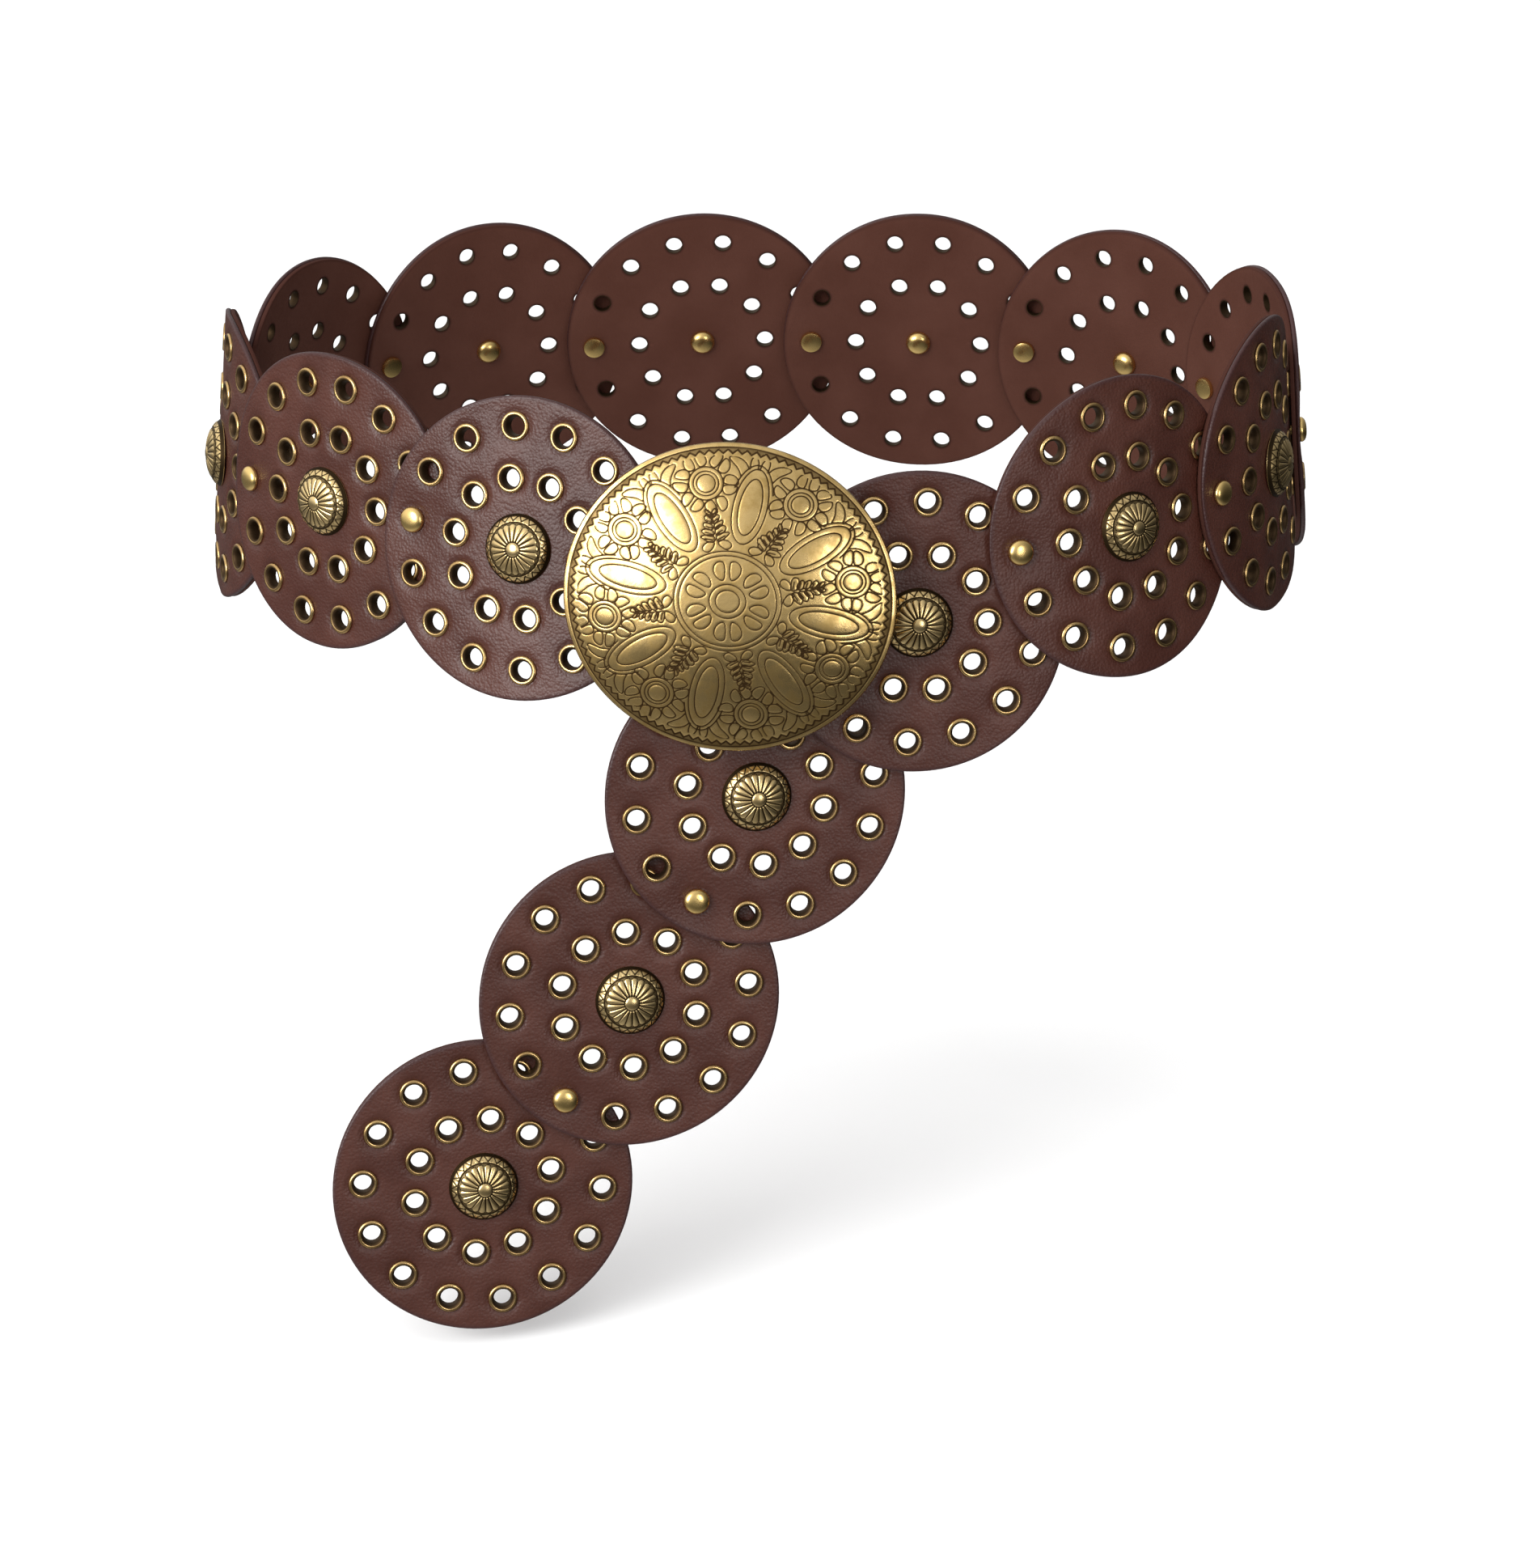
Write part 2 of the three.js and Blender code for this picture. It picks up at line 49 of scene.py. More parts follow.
# Outer leather of the discs: fifteen round blanks of thin burgundy hide, glazed and lightly
# grained, each punched with two rings of holes. Neighbours overlap by a rivet's seat, the earlier
# disc outside, and the chain bends round the waist and then hangs down.
DISC_RADIUS = 45 * MM
LEATHER_THICKNESS = 3 * MM
OUTER_PLY = 1.55 * MM
LAYER_STEP = 1.8 * MM
RIVET_CIRCLE_RADIUS = 36 * MM
OUTER_RING_HOLES = 14
INNER_RING_RADIUS = 20.8 * MM
INNER_RING_HOLES = 10
PUNCH_RADIUS = 2.95 * MM
POST_PUNCH_RADIUS = 2.2 * MM
PITCH = 2 * RIVET_CIRCLE_RADIUS
GENTLE_TURN = 9

# Turn of the belt over the disc's first and second half, climb of the chain and lean, in degrees
CHAIN = (
    (-7.2, -7.2, 6.1, -12.5),
    (-12.0, -12.1, -1.9, -5.0),
    (-24.6, -24.6, -3.2, -4.2),
    (-21.6, -21.7, 4.3, -8.8),
    (-15.7, -15.7, 1.2, -10.4),
    (-0.6, -0.6, 1.6, -9.2),
    (-7.0, -7.0, -0.8, -8.6),
    (-18.5, -18.6, -1.5, -4.8),
    (-22.0, -22.0, 3.9, -4.4),
    (-18.2, -18.3, -0.3, -4.8),
    (-17.7, -17.8, -5.5, -7.4),
    (-8.0, 4.2, -33.7, -4.6),
    (0.0, 0.0, -59.1, -4.8),
    (0.0, 0.0, -55.9, -4.8),
    (0.0, 0.0, -46.2, -4.8),
)
START_POINT = (-0.534 * PITCH, -1.526 * PITCH)
START_HEADING = 162.7

# Dents and flares: disc, place along the chain and upwards in disc radii, reach outwards and
# spread in disc radii
DENTS = (
    (3, 0.1, -1.0, -0.03, 0.35),
    (9, 0.1, 1.0, -0.025, 0.35),
    (10, 0.0, -1.0, -0.03, 0.35),
)

DISC_NUMBERS = range(1, len(CHAIN) + 1)


def chain_points():
    """Rivets and disc centres in the flattened belt, as (along, up), rivets at even places."""
    points = [(0.0, 0.0)]
    for row in CHAIN:
        climb = math.radians(row[2])
        for _ in range(2):
            along, up = points[-1]
            points.append((along + RIVET_CIRCLE_RADIUS * math.cos(climb),
                           up + RIVET_CIRCLE_RADIUS * math.sin(climb)))
    return np.array(points)


def ground_line():
    """Point and heading of the belt's line on the ground at each rivet and disc centre."""
    heading = math.radians(START_HEADING)
    point = np.array(START_POINT)
    line = [(*point, heading)]
    for row in CHAIN:
        half = RIVET_CIRCLE_RADIUS * math.cos(math.radians(row[2]))
        for turn in row[:2]:
            shares = (0.5,) if abs(turn) <= GENTLE_TURN else (0.25, 0.75)
            walked = 0
            for share in shares:
                ahead = np.array([math.cos(heading), math.sin(heading)])
                point = point + (share - walked) * half * ahead
                heading += math.radians(turn / len(shares))
                walked = share
            point = point + (1 - walked) * half * np.array([math.cos(heading), math.sin(heading)])
            line.append((*point, heading))
    return np.array(line)


CHAIN_POINTS = chain_points()
GROUND_LINE = ground_line()
CHAIN_CLIMBS = np.radians([row[2] for row in CHAIN])
CHAIN_LEANS = np.radians([row[3] for row in CHAIN])


def belt_place(along):
    """Point on the ground line and outward direction of the belt at distances along it."""
    knots = CHAIN_POINTS[:, 0]
    k = np.clip(np.searchsorted(knots, along) - 1, 0, len(knots) - 2)
    length = knots[k + 1] - knots[k]
    share = (along - knots[k]) / length
    t = np.clip(share, 0, 1)[:, None]
    ahead = np.stack([np.cos(GROUND_LINE[:, 2]), np.sin(GROUND_LINE[:, 2])], axis=1)
    a, b = GROUND_LINE[k, :2], GROUND_LINE[k + 1, :2]
    chord = np.linalg.norm(b - a, axis=1)[:, None]
    from_a, from_b = ahead[k] * chord, ahead[k + 1] * chord
    point = ((2 * t**3 - 3 * t**2 + 1) * a + (t**3 - 2 * t**2 + t) * from_a
             + (3 * t**2 - 2 * t**3) * b + (t**3 - t**2) * from_b)
    slope = ((6 * t**2 - 6 * t) * a + (3 * t**2 - 4 * t + 1) * from_a
             + (6 * t - 6 * t**2) * b + (3 * t**2 - 2 * t) * from_b)
    slope /= np.linalg.norm(slope, axis=1)[:, None]
    point = point + slope * ((share - t[:, 0]) * length)[:, None]
    flat = np.zeros((len(along), 1))
    outward = np.concatenate([-slope[:, 1:], slope[:, :1], flat], axis=1)
    return np.concatenate([point, flat], axis=1), outward


def layer_of(number, along, up):
    """Height of a disc's layer: it starts under the disc before and ends over the one after."""
    climb = CHAIN_CLIMBS[number - 1]
    before = CHAIN_CLIMBS[max(number - 2, 0)]
    after = CHAIN_CLIMBS[min(number, len(CHAIN) - 1)]
    start, centre, end = CHAIN_POINTS[2 * number - 2:2 * number + 1]
    first, second = (before + climb) / 2, (climb + after) / 2
    from_start = (along - start[0]) * math.cos(first) + (up - start[1]) * math.sin(first)
    from_end = (along - end[0]) * math.cos(second) + (up - end[1]) * math.sin(second)
    own = (along - centre[0]) * math.cos(climb) + (up - centre[1]) * math.sin(climb)
    own /= RIVET_CIRCLE_RADIUS
    lens = DISC_RADIUS / RIVET_CIRCLE_RADIUS - 1
    blend = np.clip((own / (1 - lens) + 1) / 2, 0, 1)
    under = from_start / RIVET_CIRCLE_RADIUS - 1
    over = from_end / RIVET_CIRCLE_RADIUS + 1
    return LAYER_STEP * (under + (over - under) * blend)


def dent_at(along, up):
    """How far the dents push the leather outwards, the same for every layer at that place."""
    push = np.zeros(len(along))
    for number, dent_along, dent_up, reach, spread in DENTS:
        centre = CHAIN_POINTS[2 * number - 1]
        off_along = (along - centre[0]) / DISC_RADIUS - dent_along
        off_up = (up - centre[1]) / DISC_RADIUS - dent_up
        push += reach * DISC_RADIUS * np.exp(-(off_along**2 + off_up**2) / spread**2)
    return push


def lay(points, number):
    """Bends flat points onto a disc's place: x to the right seen from outside, y up, z outwards."""
    right, upwards, depth = np.asarray(points, float).T
    climb = CHAIN_CLIMBS[number - 1]
    centre = CHAIN_POINTS[2 * number - 1]
    along = centre[0] - right * math.cos(climb) - upwards * math.sin(climb)
    up = centre[1] - right * math.sin(climb) + upwards * math.cos(climb)
    out = depth + layer_of(number, along, up) + dent_at(along, up)
    point, normal = belt_place(along)
    lean = np.interp(along, CHAIN_POINTS[1::2, 0], CHAIN_LEANS)[:, None]
    rise = np.array([0, 0, 1])
    across = normal * np.sin(lean) + rise * np.cos(lean)
    outward = normal * np.cos(lean) - rise * np.sin(lean)
    return point + across * up[:, None] + outward * out[:, None]


def mesh_points(mesh):
    """The places of a mesh's vertices, one row each."""
    points = np.zeros(len(mesh.vertices) * 3, np.float32)
    mesh.vertices.foreach_get("co", points)
    return points.reshape(-1, 3)


def set_mesh_points(mesh, points):
    """Moves a mesh's vertices to new places."""
    mesh.vertices.foreach_set("co", np.asarray(points, np.float32).ravel())
    mesh.update()


def copy_of(model, name):
    """A copy of a finished model with a mesh of its own."""
    piece = bpy.data.objects.new(name, model.data.copy())
    piece.data.name = name
    bpy.context.scene.collection.objects.link(piece)
    return piece


def deselect():
    bpy.ops.object.select_all(action="DESELECT")


def hole_places(radius, count, taken=()):
    """Centres of a ring of holes seen from outside, starting at the chain's next rivet."""
    return [(-radius * math.cos(k * math.tau / count), radius * math.sin(k * math.tau / count))
            for k in range(count) if k not in taken]


def all_hole_places():
    """Centres of both rings of holes of a disc."""
    outer = hole_places(RIVET_CIRCLE_RADIUS, OUTER_RING_HOLES)
    return outer + hole_places(INNER_RING_RADIUS, INNER_RING_HOLES)


def punched_disc(name, radius, low, high, rim_bevel, sides, rings):
    """A flat round blank between two heights, inset in rings, with a worn rim and punched holes."""
    deselect()
    bpy.ops.mesh.primitive_circle_add(vertices=sides, radius=radius, fill_type="NGON", location=(0, 0, 0))
    disc = bpy.context.object
    disc.name = name
    bpy.ops.object.mode_set(mode="EDIT")
    bpy.ops.mesh.select_all(action="SELECT")
    bpy.ops.transform.translate(value=(0, 0, low))
    for _ in range(rings):
        bpy.ops.mesh.inset(thickness=radius / (rings + 1))
    bpy.ops.mesh.select_all(action="SELECT")
    bpy.ops.mesh.extrude_region_move(TRANSFORM_OT_translate={"value": (0, 0, high - low)})
    bpy.ops.mesh.select_all(action="SELECT")
    bpy.ops.mesh.normals_make_consistent(inside=False)
    bpy.ops.mesh.select_mode(type="EDGE")
    bpy.ops.mesh.select_all(action="DESELECT")
    bpy.ops.object.mode_set(mode="OBJECT")
    mesh = disc.data
    for edge in mesh.edges:
        ends = [mesh.vertices[v].co for v in edge.vertices]
        at_rim = all(end.xy.length > radius * 0.999 for end in ends)
        edge.select = at_rim and abs(ends[0].z - ends[1].z) < 1e-6
    bpy.ops.object.mode_set(mode="EDIT")
    bpy.ops.mesh.bevel(offset=rim_bevel, segments=3, affect="EDGES")
    bpy.ops.object.mode_set(mode="OBJECT")
    punches = []
    for place, hole in [*((p, PUNCH_RADIUS) for p in all_hole_places()), ((0, 0), POST_PUNCH_RADIUS)]:
        bpy.ops.mesh.primitive_cylinder_add(vertices=24, radius=hole, depth=4 * LEATHER_THICKNESS,
                                            location=(*place, 0))
        punches.append(bpy.context.object)
    deselect()
    for punch in punches:
        punch.select_set(True)
    bpy.context.view_layer.objects.active = punches[0]
    bpy.ops.object.join()
    deselect()
    disc.select_set(True)
    bpy.context.view_layer.objects.active = disc
    cut = disc.modifiers.new("punch", "BOOLEAN")
    cut.object = punches[0]
    cut.solver = "EXACT"
    bpy.ops.object.modifier_apply(modifier=cut.name)
    bpy.data.objects.remove(punches[0])
    bpy.ops.object.mode_set(mode="EDIT")
    bpy.ops.mesh.select_all(action="DESELECT")
    bpy.ops.mesh.select_face_by_sides(number=4, type="GREATER")
    bpy.ops.mesh.quads_convert_to_tris()
    bpy.ops.object.mode_set(mode="OBJECT")
    bpy.ops.object.shade_smooth_by_angle(angle=math.radians(50))
    store_flat_map(disc.data)
    return disc


def store_flat_map(mesh):
    """UV map "flat" in decimetres round 0.5, so that patterns follow the piece as it was cut."""
    flat_map = mesh.uv_layers.new(name="flat")
    points = mesh_points(mesh)[:, :2] * 10 + 0.5
    corners = np.zeros(len(mesh.loops), np.int32)
    mesh.loops.foreach_get("vertex_index", corners)
    flat_map.data.foreach_set("uv", points[corners].astype(np.float32).ravel())


def add_node(tree, kind, inputs=None, **settings):
    """Adds a shader node; an input is a number, a colour or the socket that feeds it."""
    node = tree.nodes.new(kind)
    for name, value in settings.items():
        setattr(node, name, value)
    for key, value in (inputs or {}).items():
        if isinstance(value, bpy.types.NodeSocket):
            tree.links.new(value, node.inputs[key])
        else:
            node.inputs[key].default_value = value
    return node


def maths(tree, operation, *values, clamp=False):
    node = add_node(tree, "ShaderNodeMath", dict(enumerate(values)), operation=operation, use_clamp=clamp)
    return node.outputs[0]


def smooth_step(tree, value, low, high):
    """0 below low, 1 above high and an eased change between them."""
    inputs = {"Value": value, "From Min": low, "From Max": high}
    return add_node(tree, "ShaderNodeMapRange", inputs, interpolation_type="SMOOTHSTEP").outputs["Result"]


def blend_colours(tree, factor, first, second):
    inputs = {"Factor": factor, 6: first, 7: second}
    return add_node(tree, "ShaderNodeMix", inputs, data_type="RGBA").outputs[2]


def new_group(name, inputs, outputs):
    """A shader node group with its own sockets; gives the tree and its two end nodes."""
    tree = bpy.data.node_groups.new(name, "ShaderNodeTree")
    for label, kind, value in inputs:
        socket = tree.interface.new_socket(label, in_out="INPUT", socket_type="NodeSocket" + kind)
        if value is not None:
            socket.default_value = value
    for label, kind in outputs:
        tree.interface.new_socket(label, in_out="OUTPUT", socket_type="NodeSocket" + kind)
    return tree, tree.nodes.new("NodeGroupInput").outputs, tree.nodes.new("NodeGroupOutput").inputs


def fill_group(tree, group, inputs):
    """Places a node group in a tree, with its own values."""
    return add_node(tree, "ShaderNodeGroup", inputs, node_tree=group)


def new_material(name, **constants):
    """A material with one Principled BSDF, whose named sockets hold the surface's fixed values."""
    material = bpy.data.materials.new(name)
    material.use_nodes = True
    tree = material.node_tree
    shader = tree.nodes["Principled BSDF"]
    for key, value in constants.items():
        shader.inputs[key.replace("_", " ").title().replace("Ior", "IOR")].default_value = value
    return material, tree, shader


def ring_group():
    """Distance in mm from the nearest hole's centre of a disc, and from the disc's centre."""
    tree, given, result = new_group("hole_distance", [("Flat", "Vector", None)],
                                    [("Hole", "Float"), ("Centre", "Float")])
    flat = add_node(tree, "ShaderNodeVectorMath", {0: given["Flat"], 1: (0.5, 0.5, 0)}, operation="SUBTRACT")
    parts = add_node(tree, "ShaderNodeSeparateXYZ", {0: flat.outputs[0]}).outputs
    x, y = maths(tree, "MULTIPLY", parts[0], -100), maths(tree, "MULTIPLY", parts[1], 100)
    squares = [maths(tree, "MULTIPLY", side, side) for side in (x, y)]
    radius = maths(tree, "SQRT", maths(tree, "ADD", *squares))
    turn = maths(tree, "ARCTAN2", y, x)
    nearest = None
    rings = ((RIVET_CIRCLE_RADIUS / MM, OUTER_RING_HOLES), (INNER_RING_RADIUS / MM, INNER_RING_HOLES))
    for ring, count in rings:
        step = math.tau / count
        off = maths(tree, "SUBTRACT", turn, maths(tree, "SNAP", maths(tree, "ADD", turn, step / 2), step))
        reach = maths(tree, "MULTIPLY", maths(tree, "MULTIPLY", radius, 2 * ring), maths(tree, "COSINE", off))
        square = maths(tree, "ADD", maths(tree, "MULTIPLY", radius, radius), ring**2)
        square = maths(tree, "SUBTRACT", square, reach)
        distance = maths(tree, "SQRT", maths(tree, "MAXIMUM", square, 0))
        nearest = distance if nearest is None else maths(tree, "MINIMUM", nearest, distance)
    tree.links.new(nearest, result["Hole"])
    tree.links.new(radius, result["Centre"])
    return tree


def grain_group():
    """Leather grain: fine pebbles, creases drawn out one way, and slow changes of tone."""
    tree, given, result = new_group(
        "leather_grain",
        [("Vector", "Vector", None), ("Pebbles", "Float", 1.0), ("Creases", "Float", 1.0)],
        [("Height", "Float"), ("Tone", "Float"), ("Cloud", "Float")])
    pebble = add_node(tree, "ShaderNodeTexVoronoi", {"Vector": given["Vector"], "Scale": 1150, "Randomness": 1})
    fine = add_node(tree, "ShaderNodeTexNoise", {"Vector": given["Vector"], "Scale": 900, "Detail": 4})
    turned = add_node(tree, "ShaderNodeMapping", {"Vector": given["Vector"], "Rotation": (0.5, 0.9, 0.4),
                                                  "Scale": (1, 1, 4.5)})
    crease = add_node(tree, "ShaderNodeTexNoise", {"Vector": turned.outputs[0], "Scale": 170, "Detail": 5,
                                                   "Roughness": 0.65, "Distortion": 0.6})
    cloud = add_node(tree, "ShaderNodeTexNoise", {"Vector": given["Vector"], "Scale": 45, "Detail": 4})
    pebbles = maths(tree, "MULTIPLY", maths(tree, "SUBTRACT", 0.7, pebble.outputs["Distance"]), given["Pebbles"])
    folds = maths(tree, "MULTIPLY", crease.outputs["Fac"], given["Creases"])
    height = maths(tree, "ADD", maths(tree, "ADD", pebbles, folds),
                   maths(tree, "MULTIPLY", fine.outputs["Fac"], 0.35))
    tree.links.new(height, result["Height"])
    tree.links.new(fine.outputs["Fac"], result["Tone"])
    tree.links.new(cloud.outputs["Fac"], result["Cloud"])
    return tree


HOLE_DISTANCE = ring_group()
LEATHER_GRAIN = grain_group()
BURGUNDY = (0.044, 0.0116, 0.0068, 1)
BURGUNDY_LIGHT = (0.060, 0.0182, 0.0115, 1)
BURGUNDY_DEEP = (0.032, 0.0056, 0.0032, 1)
EDGE_PURPLE = (0.030, 0.012, 0.013, 1)

outer_leather, tree, shader = new_material("outer_leather", specular_ior_level=0.42)
flat = add_node(tree, "ShaderNodeUVMap", None, uv_map="flat").outputs[0]
place = add_node(tree, "ShaderNodeTexCoord").outputs["Object"]
holes = fill_group(tree, HOLE_DISTANCE, {"Flat": flat}).outputs
grain = fill_group(tree, LEATHER_GRAIN, {"Vector": place, "Pebbles": 0.8, "Creases": 0.45}).outputs
near_hole = maths(tree, "SUBTRACT", 1, smooth_step(tree, holes["Hole"], 4.1, 6.2))
near_rim = smooth_step(tree, holes["Centre"], 43.2, 45.2)
colour = blend_colours(tree, smooth_step(tree, grain["Cloud"], 0.35, 0.7), BURGUNDY, BURGUNDY_LIGHT)
colour = blend_colours(tree, maths(tree, "MULTIPLY", near_hole, 0.3), colour, BURGUNDY_DEEP)
colour = blend_colours(tree, maths(tree, "MULTIPLY", near_rim, 0.8), colour, EDGE_PURPLE)
tree.links.new(colour, shader.inputs["Base Color"])
shine = maths(tree, "ADD", 0.33, maths(tree, "MULTIPLY", grain["Tone"], 0.16))
tree.links.new(shine, shader.inputs["Roughness"])
pressed = maths(tree, "MULTIPLY", near_hole, -1.3)
height = maths(tree, "ADD", grain["Height"], pressed)
bump = add_node(tree, "ShaderNodeBump", {"Height": height, "Strength": 0.5, "Distance": 0.0003})
tree.links.new(bump.outputs[0], shader.inputs["Normal"])

EYELET_PRESS = 0.48 * MM
EYELET_REACH = 6.3 * MM
RIVET_PRESS = 0.80 * MM
RIVET_REACH = 6.5 * MM
EYELET_EDGE = 4.0 * MM
CAP_EDGE = 3.6 * MM
CONCHO_REST = 11 * MM
EVEN_FADE = 4 * MM
UNEVENNESS = 0.34 * MM
BROAD_WAVES, SMALL_WAVES = 62, 150


def pressed(points, number):
    """The blank with its face pressed in round eyelets and cap rivet, and a little uneven all over."""
    places = np.array(all_hole_places())
    off = np.hypot(points[:, 0, None] - places[:, 0], points[:, 1, None] - places[:, 1])
    near = np.clip((EYELET_REACH - off.min(axis=1)) / (EYELET_REACH - EYELET_EDGE), 0, 1)
    sink = EYELET_PRESS * near**2 * (3 - 2 * near)
    if number < len(CHAIN):
        beside = np.maximum(off[:, 0] - CAP_EDGE, 0) / RIVET_REACH
        sink = np.maximum(sink, RIVET_PRESS * np.exp(-beside**2))
    radius = np.hypot(points[:, 0], points[:, 1])
    open_leather = np.clip((radius - CONCHO_REST) / EVEN_FADE, 0, 1)
    open_leather *= np.clip((DISC_RADIUS - radius) / EVEN_FADE, 0, 1)
    waves = [noise.noise((x * BROAD_WAVES, y * BROAD_WAVES, number * 5.3))
             + 0.4 * noise.noise((x * SMALL_WAVES, y * SMALL_WAVES, number * 3.1))
             for x, y in points[:, :2]]
    sink = sink - UNEVENNESS * np.array(waves) * open_leather * (1 - near)
    upper = np.clip((points[:, 2] - 0.8 * MM) / (0.7 * MM), 0, 1)
    return points - np.outer(sink * upper, (0, 0, 1))


FACE_HEIGHT = LEATHER_THICKNESS / 2
outer_model = punched_disc("outer_blank", DISC_RADIUS, FACE_HEIGHT - OUTER_PLY, FACE_HEIGHT,
                           rim_bevel=0.66 * MM, sides=132, rings=32)
outer_model.data.materials.append(outer_leather)
for number in DISC_NUMBERS:
    piece = copy_of(outer_model, f"outer_leather_{number}")
    set_mesh_points(piece.data, lay(pressed(mesh_points(piece.data), number), number))
    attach(piece, "root")
    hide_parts(f"leather_disc_{number}")
bpy.data.objects.remove(outer_model)


# Lining of the discs: a second blank of matte red-brown leather glued behind each outer one, cut
# a little smaller, so that a fine groove runs round the edge. Its holes are plainly punched.
LINING_RADIUS = 44.8 * MM
LINING_RED = (0.060, 0.0205, 0.0130, 1)
LINING_WORN = (0.074, 0.0275, 0.0185, 1)
LINING_DEEP = (0.032, 0.010, 0.007, 1)

lining_leather, tree, shader = new_material("lining_leather", specular_ior_level=0.12)
flat = add_node(tree, "ShaderNodeUVMap", None, uv_map="flat").outputs[0]
place = add_node(tree, "ShaderNodeTexCoord").outputs["Object"]
holes = fill_group(tree, HOLE_DISTANCE, {"Flat": flat}).outputs
grain = fill_group(tree, LEATHER_GRAIN, {"Vector": place, "Pebbles": 0.5, "Creases": 0.4}).outputs
colour = blend_colours(tree, smooth_step(tree, grain["Cloud"], 0.3, 0.75), LINING_RED, LINING_WORN)
near_hole = maths(tree, "SUBTRACT", 1, smooth_step(tree, holes["Hole"], 3.0, 3.8))
colour = blend_colours(tree, maths(tree, "MULTIPLY", near_hole, 0.7), colour, LINING_DEEP)
near_rim = smooth_step(tree, holes["Centre"], 43.6, 45.0)
colour = blend_colours(tree, maths(tree, "MULTIPLY", near_rim, 0.7), colour, LINING_DEEP)
tree.links.new(colour, shader.inputs["Base Color"])
shine = maths(tree, "ADD", 0.62, maths(tree, "MULTIPLY", grain["Tone"], 0.2))
tree.links.new(shine, shader.inputs["Roughness"])
bump = add_node(tree, "ShaderNodeBump", {"Height": grain["Height"], "Strength": 0.35, "Distance": 0.0002})
tree.links.new(bump.outputs[0], shader.inputs["Normal"])

GLUE_GAP = 0.03 * MM
lining_model = punched_disc("lining_blank", LINING_RADIUS, -FACE_HEIGHT, FACE_HEIGHT - OUTER_PLY - GLUE_GAP,
                            rim_bevel=0.35 * MM, sides=96, rings=16)
lining_model.data.materials.append(lining_leather)
for number in DISC_NUMBERS:
    piece = copy_of(lining_model, f"lining_{number}")
    set_mesh_points(piece.data, lay(mesh_points(piece.data), number))
    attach(piece, "root")
    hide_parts(f"leather_disc_{number}")
bpy.data.objects.remove(lining_model)


# Eyelets: rolled brass rings pressed through every hole from outside. The round lip lies on the
# outer leather and the thin barrel ends level with the lining.
EYELET_PROFILE = (
    (4.34, 0.95), (4.46, 1.27), (4.36, 1.65), (4.02, 1.91), (3.58, 1.93), (3.16, 1.71), (2.90, 1.30),
    (2.76, 0.80), (2.66, -0.20), (2.66, -1.52), (2.90, -1.52), (2.95, 1.15),
)
EYELET_STEPS = 22
BRASS_RECESS_DARK = (0.045, 0.026, 0.012, 1)


def brass_group():
    """Aged brass: bright metal, brown tarnish in patches, fine scratches, and a dark colour where the recess
    input is high, which is blackening in the pressed lines of conchos and plate and painted shade in the
    eyelets.
    """
    tree, given, result = new_group(
        "aged_brass",
        [("Vector", "Vector", None), ("Recess", "Float", 0.0), ("Tarnish", "Float", 0.4),
         ("Bright", "Color", (0.8, 0.6, 0.3, 1)), ("Brown", "Color", (0.4, 0.25, 0.1, 1)),
         ("Dark", "Color", BRASS_RECESS_DARK)],
        [("Color", "Color"), ("Roughness", "Float"), ("Height", "Float")])
    patch = add_node(tree, "ShaderNodeTexNoise", {"Vector": given["Vector"], "Scale": 210, "Detail": 6,
                                                  "Roughness": 0.62})
    speck = add_node(tree, "ShaderNodeTexNoise", {"Vector": given["Vector"], "Scale": 1300, "Detail": 3})
    drawn = add_node(tree, "ShaderNodeMapping", {"Vector": given["Vector"], "Rotation": (0.2, 0.5, 0.9),
                                                 "Scale": (1, 9, 1)})
    scratch = add_node(tree, "ShaderNodeTexNoise", {"Vector": drawn.outputs[0], "Scale": 420, "Detail": 3})
    patches = smooth_step(tree, patch.outputs["Fac"], 0.38, 0.68)
    browned = maths(tree, "MULTIPLY", patches, given["Tarnish"])
    speckle = smooth_step(tree, speck.outputs["Fac"], 0.62, 0.75)
    browned = maths(tree, "ADD", browned, maths(tree, "MULTIPLY", speckle, 0.25), clamp=True)
    colour = blend_colours(tree, browned, given["Bright"], given["Brown"])
    colour = blend_colours(tree, given["Recess"], colour, given["Dark"])
    shine = maths(tree, "ADD", 0.24, maths(tree, "MULTIPLY", browned, 0.16))
    shine = maths(tree, "ADD", shine, maths(tree, "MULTIPLY", given["Recess"], 0.3))
    height = maths(tree, "ADD", maths(tree, "MULTIPLY", scratch.outputs["Fac"], 0.5),
                   maths(tree, "MULTIPLY", patch.outputs["Fac"], 0.8))
    tree.links.new(colour, result["Color"])
    tree.links.new(shine, result["Roughness"])
    tree.links.new(height, result["Height"])
    return tree


AGED_BRASS = brass_group()


def brass_material(name, bright, brown, tarnish, bump_strength, line_edge=None, dark=BRASS_RECESS_DARK):
    """A brass finish: two tones, the share of tarnish, and how near the "recess" attribute is to dark."""
    material, tree, shader = new_material(name, metallic=1.0)
    place = add_node(tree, "ShaderNodeTexCoord").outputs["Object"]
    inputs = {"Vector": place, "Tarnish": tarnish, "Bright": bright, "Brown": brown}
    if line_edge:
        recess = add_node(tree, "ShaderNodeAttribute", None, attribute_name="recess").outputs["Fac"]
        inputs["Recess"] = smooth_step(tree, recess, line_edge - 0.09, line_edge + 0.09)
        inputs["Dark"] = dark
    finish = fill_group(tree, AGED_BRASS, inputs).outputs
    tree.links.new(finish["Color"], shader.inputs["Base Color"])
    tree.links.new(finish["Roughness"], shader.inputs["Roughness"])
    bump = add_node(tree, "ShaderNodeBump", {"Height": finish["Height"], "Strength": bump_strength,
                                             "Distance": 0.0002})
    tree.links.new(bump.outputs[0], shader.inputs["Normal"])
    return material


